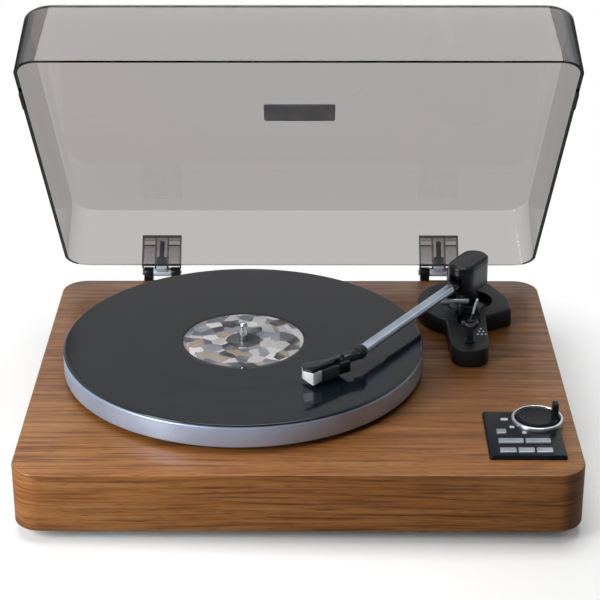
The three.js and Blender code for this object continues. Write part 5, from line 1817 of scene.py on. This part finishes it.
@dataclass
class DustCover(Assembly):
    """Smoked cover with its hinge sockets, badge and rubber pads, on the hinge line."""

    hinge_y: float = 193.7
    hinge_z: float = 3.4
    open_angle: float = 48.74
    width: float = 436.0
    depth: float = 361.0
    height: float = 56.5
    wall: float = 3.0
    corner: float = 19.5
    top_corner: float = 25.6
    side_draft: float = 2.7
    front_draft: float = 8.0
    back_draft: float = 4.0
    edge: float = 3.6
    inner_edge: float = 0.9
    rim_back: float = -14.2
    rim_bottom: float = 0.1
    hinge_x: float = 130.0
    socket_half: float = 18.3
    socket_height: float = 30.0
    socket_depth: float = 7.5
    socket_wall: float = 1.5
    shelf: float = 20.0
    pocket_half: float = 4.9
    rib_half: float = 2.2
    # Ramps of (start, length) that place the painted shade on the front corners.
    side_ramp: Pair = (0.46, 0.14)
    front_ramp: Pair = (0.02, 0.1)
    frame: Frame = field(init=False)

    def __post_init__(self) -> None:
        """Sets the frame on the hinge line, turned back by the open angle."""
        self.frame = self.deck.child((0.0, self.hinge_y, self.hinge_z), turn_about("x", -self.open_angle))

    def build(self) -> None:
        """Makes the cover, its badge and pads, and the hinges."""
        self.build_shell()
        self.build_trim()
        self.build_hinges()

    def ring(self, distance: float, height: float) -> Array:
        """Gives one level of the skin: the walls lean in by their drafts as the height grows.

        Args:
            distance: How far the level is inset, in millimetres.
            height: Height of the level.

        Returns:
            Array of shape (points, 3).
        """
        share = (height - self.rim_bottom) / self.height
        side = self.width / 2 - self.side_draft * share - distance
        front = self.rim_back - self.depth + self.front_draft * share + distance
        back = self.rim_back - self.back_draft * share - distance
        radius = max(self.corner + (self.top_corner - self.corner) * share - distance, 1.0)
        flat = fillet(rectangle((-side, side), (front, back)), radius, 14)
        return np.column_stack([flat, np.full(len(flat), height)])

    def skin(self, distance: float, bottom: float, top: float, edge: float) -> Array:
        """Stacks levels from the rim to the top, the top edge rounded by an arc.

        Args:
            distance: How far the whole skin is inset, in millimetres.
            bottom: Height of the lowest level.
            top: Height of the top.
            edge: Radius of the top edge.

        Returns:
            Array of shape (levels, points, 3).
        """
        angle = np.linspace(0, math.pi / 2, 7)
        walls = [self.ring(distance, z) for z in np.linspace(bottom, top - edge, 4)[:-1]]
        bends = [self.ring(distance + edge * (1 - math.cos(a)), top - edge + edge * math.sin(a)) for a in angle]
        return np.stack(walls + bends)

    def build_shell(self) -> None:
        """Closes an outer and an inner skin into one thin shell, and moulds on the hinge sockets."""
        bench = self.bench
        top = self.rim_bottom + self.height
        outer = self.skin(0.0, self.rim_bottom, top, self.edge)
        inner = self.skin(self.wall, self.rim_bottom, top - self.wall, self.inner_edge)
        shell = bench.raw(loft(np.concatenate([inner[::-1], outer])), self.frame)
        inside = loft(self.skin(self.wall, self.rim_bottom - OVER, top - self.wall, self.inner_edge))
        deep = (self.rim_back - self.wall / 2 - self.back_draft, self.rim_back + self.socket_depth)
        high = (self.rim_bottom + 0.02, self.rim_bottom + self.socket_height)
        pockets = []
        for x in (-self.hinge_x, self.hinge_x):
            socket = bench.raw(block((x - self.socket_half, x + self.socket_half), deep, high), self.frame)
            bench.carve(socket, [inside], self.frame, Carve.CUT)
            bench.work(shell, [socket], Carve.JOIN)
            pockets += self.pockets(x)
        bench.carve(shell, [joined(pockets)], self.frame, Carve.CUT)
        # The front corners' bends get painted shade.
        self.measure_painted_bend_shade(shell)
        bench.hand_over(shell, "cover_shell", Body.COVER, self.palette.acrylic, ["dust_cover"], 30.0)

    def measure_painted_bend_shade(self, shell: Solid) -> None:
        """Stores the painted shade of the two front corners' bends: 1 on the part of each arc next to the sides.

        The two distances past the straight parts, over the corner's radius, are each put on a
        short ramp of (start, length) and multiplied; the top is left at 0.

        Args:
            shell: The finished shell.
        """
        local = (mesh_points(shell.data) - self.frame.origin) @ self.frame.turn
        share = np.clip((local[:, 2] - self.rim_bottom) / self.height, 0, 1)
        radius = self.corner + (self.top_corner - self.corner) * share
        side = self.width / 2 - self.side_draft * share - radius
        front = self.rim_back - self.depth + self.front_draft * share + radius
        bend = np.ones(len(local))
        past_side, past_front = (np.abs(local[:, 0]) - side) / radius, (front - local[:, 1]) / radius
        for past, (start, length) in ((past_side, self.side_ramp), (past_front, self.front_ramp)):
            bend *= np.clip((past - start) / length, 0, 1)
        bend[local[:, 2] > self.rim_bottom + self.height - self.edge * 0.9] = 0.0
        store_values(shell.data, self.palette.acrylic.bend, bend)

    def pockets(self, x: float) -> list[Surface]:
        """Gives the three pockets of a socket, open below, and the two windows above the side ones.

        Args:
            x: Middle of the socket.

        Returns:
            The five blocks to cut.
        """
        near = self.rim_back + self.socket_wall
        far = self.rim_back + self.socket_depth - self.socket_wall
        inner = self.pocket_half + self.socket_wall
        outer = self.socket_half - self.socket_wall
        low, roof = self.rim_bottom - OVER, self.rim_bottom + self.socket_height - self.socket_wall
        shelf = self.rim_bottom + self.shelf
        sides = [(x - outer, x - inner), (x + inner, x + outer)]
        shapes = [block((x - self.pocket_half, x + self.pocket_half), (near, far), (low, roof))]
        shapes += [block(side, (near, far), (low, shelf)) for side in sides]
        past = self.rim_back + self.socket_depth + OVER
        return shapes + [block(side, (near, past), (shelf + self.socket_wall, roof)) for side in sides]

    def build_trim(self) -> None:
        """Makes the blank badge, framed by a thin lip, and the pads under the side rims."""
        top = self.rim_bottom + self.height + GAP
        base = Prism(rectangle((-30.5, 30.5), (-215, -188)), 2.2, top, top + 1.2, steps=6)
        foil = base.stack([(0.3, top), (0.3, top + 0.2)])
        self.bench.build("cover_badge_foil", foil, self.frame, Body.COVER, self.palette.foil)
        low = top + 0.2 + GAP
        levels = [(0.2, low), (0.0, low + 0.2), (0.0, top + 0.9), (0.3, base.top), (1.3, base.top), (1.6, top + 0.8)]
        plate = base.stack(levels)
        self.bench.build("cover_badge_plate", plate, self.frame, Body.COVER, self.palette.badge, ["lid_badge"])
        front = self.rim_back - self.depth + 45
        for side, sign in (("left", -1), ("right", 1)):
            x = sign * (self.width / 2 - self.wall / 2)
            pad = block((x - 1.3, x + 1.3), (front, front + 23), (self.rim_bottom - 3.2, self.rim_bottom - GAP), 0.4)
            node = f"lid_bumper_{side}"
            self.bench.build(f"cover_pad_{side}", pad, self.frame, Body.COVER, self.palette.rubber, [node])

    def build_hinges(self) -> None:
        """Refines the brackets, the pins and the leaves, whose tongues are narrowed to a rib above."""
        bench = self.bench
        for side, x in (("left", -self.hinge_x), ("right", self.hinge_x)):
            bracket, pin, leaf = (f"hinge_{part}_{side}" for part in ("bracket", "pin", "leaf"))
            bench.refine(bracket, f"{bracket}_formed", Body.CASE, self.palette.satin_black, 0.4)
            bench.refine(pin, f"{pin}_turned", Body.CASE, self.palette.steel, 0.2)
            tongue = bench.refined(leaf, 0.25)
            spans = ((x - 8, x - self.rib_half), (x + self.rib_half, x + 8))
            cuts = [block(span, (-13.5, -9), (self.rim_bottom + 9, self.rim_bottom + 40)) for span in spans]
            bench.carve(tongue, cuts, self.frame, Carve.CUT)
            bench.hand_over(tongue, f"{leaf}_formed", Body.COVER, self.palette.hinge_grey, [leaf])


# ---- Rear connectors ----


@dataclass
class RearPanel(Assembly):
    """Connector plate on the back, with jacks, a power inlet and a slide switch."""

    middle: float = -26.0
    jacks: tuple[tuple[str, float], ...] = (("left", -20.0), ("right", -38.0))

    def build(self) -> None:
        """Makes the plate and everything on it."""
        bench, palette = self.bench, self.palette
        bench.refine("rear_panel", "rear_plate", Body.CASE, palette.matt_black, 0.25)
        bench.refine("power_socket", "power_inlet", Body.CASE, palette.satin_black, 0.25)
        bench.refine("output_switch", "output_switch_knob", Body.SWITCH, palette.matt_black, 0.4)
        self.build_jacks()

    def build_jacks(self) -> None:
        """Turns the phono jacks, each with a flange inside the plate and a bore for the plug's pin."""
        profile = np.array([
            [1.7, 181], [0.01, 181], [0.01, 174], [4.2, 174], [4.2, 177.7], [6.6, 177.7], [6.6, 179.7], [4.2, 179.7],
            [4.2, 190], [1.7, 190],
        ])
        shape = lathe(fillet(profile, [0.1, 0, 0, 0.3, 0.1, 0.3, 0.3, 0.1, 0.5, 0.3], 4), 64, closed=True)
        for side, x in self.jacks:
            jack, node = shape.laid([0, 2, 1], (x, 0.0, self.middle)), f"signal_jack_{side}"
            self.bench.build(f"jack_{side}", jack, self.deck, Body.CASE, self.palette.brass, [node], SMOOTH)


# ---- Surroundings ----


@dataclass
class Studio:
    """Floor, soft light and camera."""

    camera_place: Point = (0.00778, -1.39195, 0.74759)
    pitch: float = 24.51
    yaw: float = -0.295
    roll: float = -0.062
    lens: float = 108.668
    sensor: float = 36.0
    sight: float = 60.0
    room_light: float = 0.3
    front_light: float = 0.09
    front_glow: float = 0.3
    side_glow: float = 0.05
    right_share: float = 0.35
    floor_half: float = 20.0
    floor_height: float = -0.0002
    floor_seen: float = 0.97
    floor_bounce: float = 0.27
    floor_fade: Pair = (0.01, 0.13)
    stand: Pair = (0.19, 0.235)
    stand_middle: float = -0.09
    lamp_mirrored: float = 0.18

    def build(self) -> None:
        """Makes the surroundings."""
        self.build_world()
        self.build_floor()
        self.build_lamps()
        self.build_camera()

    def build_world(self) -> None:
        """Lights the room softly and shows white to the eye, also through clear plastic.

        The room is dimmer in front than behind, and dimmer at the right than at the left. Gloss
        sees white behind the object, fading to a dim room in front of it and, near the horizon,
        at both sides.
        """
        world = bpy.data.worlds.new("room")
        bpy.context.scene.world = world
        world.use_nodes = True
        nodes = NodeTree(world.node_tree)
        path = nodes.node("ShaderNodeLightPath").outputs
        coords = nodes.node("ShaderNodeTexCoord").outputs["Generated"]
        way = nodes.axes(coords)
        behind = nodes.spread(way[1], self.front_glow, 1.0, -0.25, 0.3, True)
        beside = nodes.spread(nodes.math("ABSOLUTE", way[0]), 1.0, self.side_glow, 0.3, 0.6, True)
        beside = nodes.pick(nodes.spread(way[2], 1.0, 0.0, 0.05, 0.35, True), 1.0, beside)
        soft = nodes.spread(way[1], self.front_light, self.room_light, -0.4, 0.2, True)
        soft = nodes.math("MULTIPLY", soft, nodes.spread(way[0], 1.0, self.right_share, -0.1, 0.7, True))
        shown = nodes.pick(path["Is Glossy Ray"], soft, nodes.math("MULTIPLY", behind, beside))
        clear = nodes.math("MAXIMUM", path["Is Camera Ray"], path["Is Transmission Ray"])
        level = nodes.pick(clear, shown, 1.0)
        back = nodes.node("ShaderNodeBackground", {"Color": WHITE, "Strength": level})
        nodes.node("ShaderNodeOutputWorld", {"Surface": back.outputs[0]})

    def build_floor(self) -> None:
        """Lays a plain pale floor that keeps the object's shadow, and is plain white further away."""
        side = np.linspace(-self.floor_half, self.floor_half, 21)
        x, y = np.meshgrid(side, side)
        points = np.stack([x, y, np.full_like(x, self.floor_height)], -1).reshape(-1, 3)
        mesh = bpy.data.meshes.new("floor")
        mesh.from_pydata(points.tolist(), [], grid_faces(len(side), len(side), False, False).tolist())
        floor = added("floor", mesh)
        shader = Shader("pale_floor")
        path = shader.node("ShaderNodeLightPath").outputs
        pale = (self.floor_seen,) * 3
        bounce = (self.floor_bounce,) * 3
        # A ray that has passed clear plastic also counts as glossy, so it is taken off again.
        mirrored = shader.math("SUBTRACT", path["Is Glossy Ray"], path["Is Transmission Ray"])
        dull = shader.math("MAXIMUM", path["Is Diffuse Ray"], mirrored)
        shader.set(base_color=shader.blend(dull, pale, bounce), roughness=0.7, specular_ior_level=0.1)
        seen = shader.math("SUBTRACT", 1.0, path["Is Diffuse Ray"])
        far = shader.spread(self.outside(shader), 0.0, 1.0, *self.floor_fade)
        spot = shader.axes(shader.place())
        beside = shader.spread(shader.math("ABSOLUTE", spot[0]), 1.0, self.side_glow, 0.5, 0.85, True)
        before = shader.spread(spot[1], self.front_glow, 1.0, -0.25, 0.3, True)
        level = shader.pick(shader.math("MAXIMUM", mirrored, 0.0), 1.0, shader.math("MULTIPLY", beside, before))
        share = shader.math("MULTIPLY", seen, far)
        mix = shader.node("ShaderNodeMixShader", {0: share, 1: shader.surface.outputs[0], 2: shader.glow(level)})
        shader.link(mix.outputs[0], shader.output.inputs["Surface"])
        mesh.materials.append(shader.material)

    def outside(self, shader: Shader) -> Socket:
        """Gives the distance outside a rectangle under the object: the length of max(|p| - stand, 0).

        Args:
            shader: The floor's nodes.

        Returns:
            The distance, in metres.
        """
        coords = shader.place(centre=(0.0, self.stand_middle, 0.0))
        past = shader.vector_math("SUBTRACT", shader.vector_math("ABSOLUTE", coords), (*self.stand, 1.0))
        return shader.length(shader.vector_math("MAXIMUM", past))

    def build_lamps(self) -> None:
        """Hangs a large soft lamp over the object and stands a weaker one in front at the left."""
        self.lamp("over", (0.0, 0.18, 2.2), (0.0, 0.0, 0.2), (1.45, 1.2), 30.0)
        self.lamp("left", (-0.75, -0.65, 0.4), (-0.1, -0.1, 0.03), (0.35, 0.6), 10.5)

    def lamp(self, name: str, place: Point, target: Point, size: Pair, power: float) -> None:
        """Adds one rectangular lamp that faces a target; clear plastic mirrors it only faintly.

        Args:
            name: The lamp's name.
            place: Where it hangs, in metres.
            target: The point that it faces.
            size: Its two sides, in metres.
            power: Its power, in watts.
        """
        data = bpy.data.lights.new(name, "AREA")
        data.shape = "RECTANGLE"
        data.size, data.size_y = size
        data.energy = power
        data.use_nodes = True
        nodes = NodeTree(data.node_tree)
        path = nodes.node("ShaderNodeLightPath").outputs
        direct = nodes.math("LESS_THAN", path["Diffuse Depth"], 0.5)
        clear = nodes.math("MAXIMUM", path["Is Singular Ray"], path["Is Transmission Ray"])
        level = nodes.pick(nodes.math("MULTIPLY", clear, direct), 1.0, self.lamp_mirrored)
        nodes.node("ShaderNodeOutputLight", {"Surface": nodes.glow(level)})
        lamp = added(name, data)
        lamp.location = place
        lamp.rotation_euler = (Vector(target) - Vector(place)).to_track_quat("-Z", "Y").to_euler()

    def build_camera(self) -> None:
        """Sets the camera from its pitch, yaw and roll."""
        data = bpy.data.cameras.new("view")
        data.lens = self.lens
        data.sensor_width = self.sensor
        data.clip_end = self.sight
        pitch, yaw, roll = (math.radians(v) for v in (self.pitch, self.yaw, self.roll))
        forward = np.array([math.sin(yaw) * math.cos(pitch), math.cos(yaw) * math.cos(pitch), -math.sin(pitch)])
        right = np.array([math.cos(yaw), -math.sin(yaw), 0.0])
        up = np.cross(right, forward)
        leaned = right * math.cos(roll) + up * math.sin(roll)
        raised = -right * math.sin(roll) + up * math.cos(roll)
        view = added("view", data)
        matrix = Matrix(np.column_stack([leaned, raised, -forward]).tolist()).to_4x4()
        matrix.translation = Vector(self.camera_place)
        view.matrix_world = matrix
        bpy.context.scene.camera = view


# ---- The whole object ----


def main() -> None:
    """Loads the frame, builds every sub-assembly in order, then the surroundings."""
    logging.basicConfig(level=logging.INFO, format="%(name)s %(message)s")
    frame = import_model()
    low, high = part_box("plinth_case")
    middle = [PER_METRE / 2 * (low[axis] + high[axis]) for axis in (0, 1)]
    deck = Frame(np.array([*middle, PER_METRE * high.z]), np.eye(3))
    bench = Bench(frame["nodes"])
    axis = deck.child((*SPINDLE, 0.0)).origin / PER_METRE
    palette = Palette(tuple(float(v) for v in axis))
    for part in (Case, PlatterSet, ArmBase, Tonearm, ControlPanel, DustCover, RearPanel):
        part(bench, palette, deck).build()
        LOG.info("%s done", part.__name__)
    Studio().build()
    bpy.context.scene.view_settings.view_transform = "Standard"
    LOG.info("%d new pieces", len(bench.made))


if __name__ == "__main__":
    main()
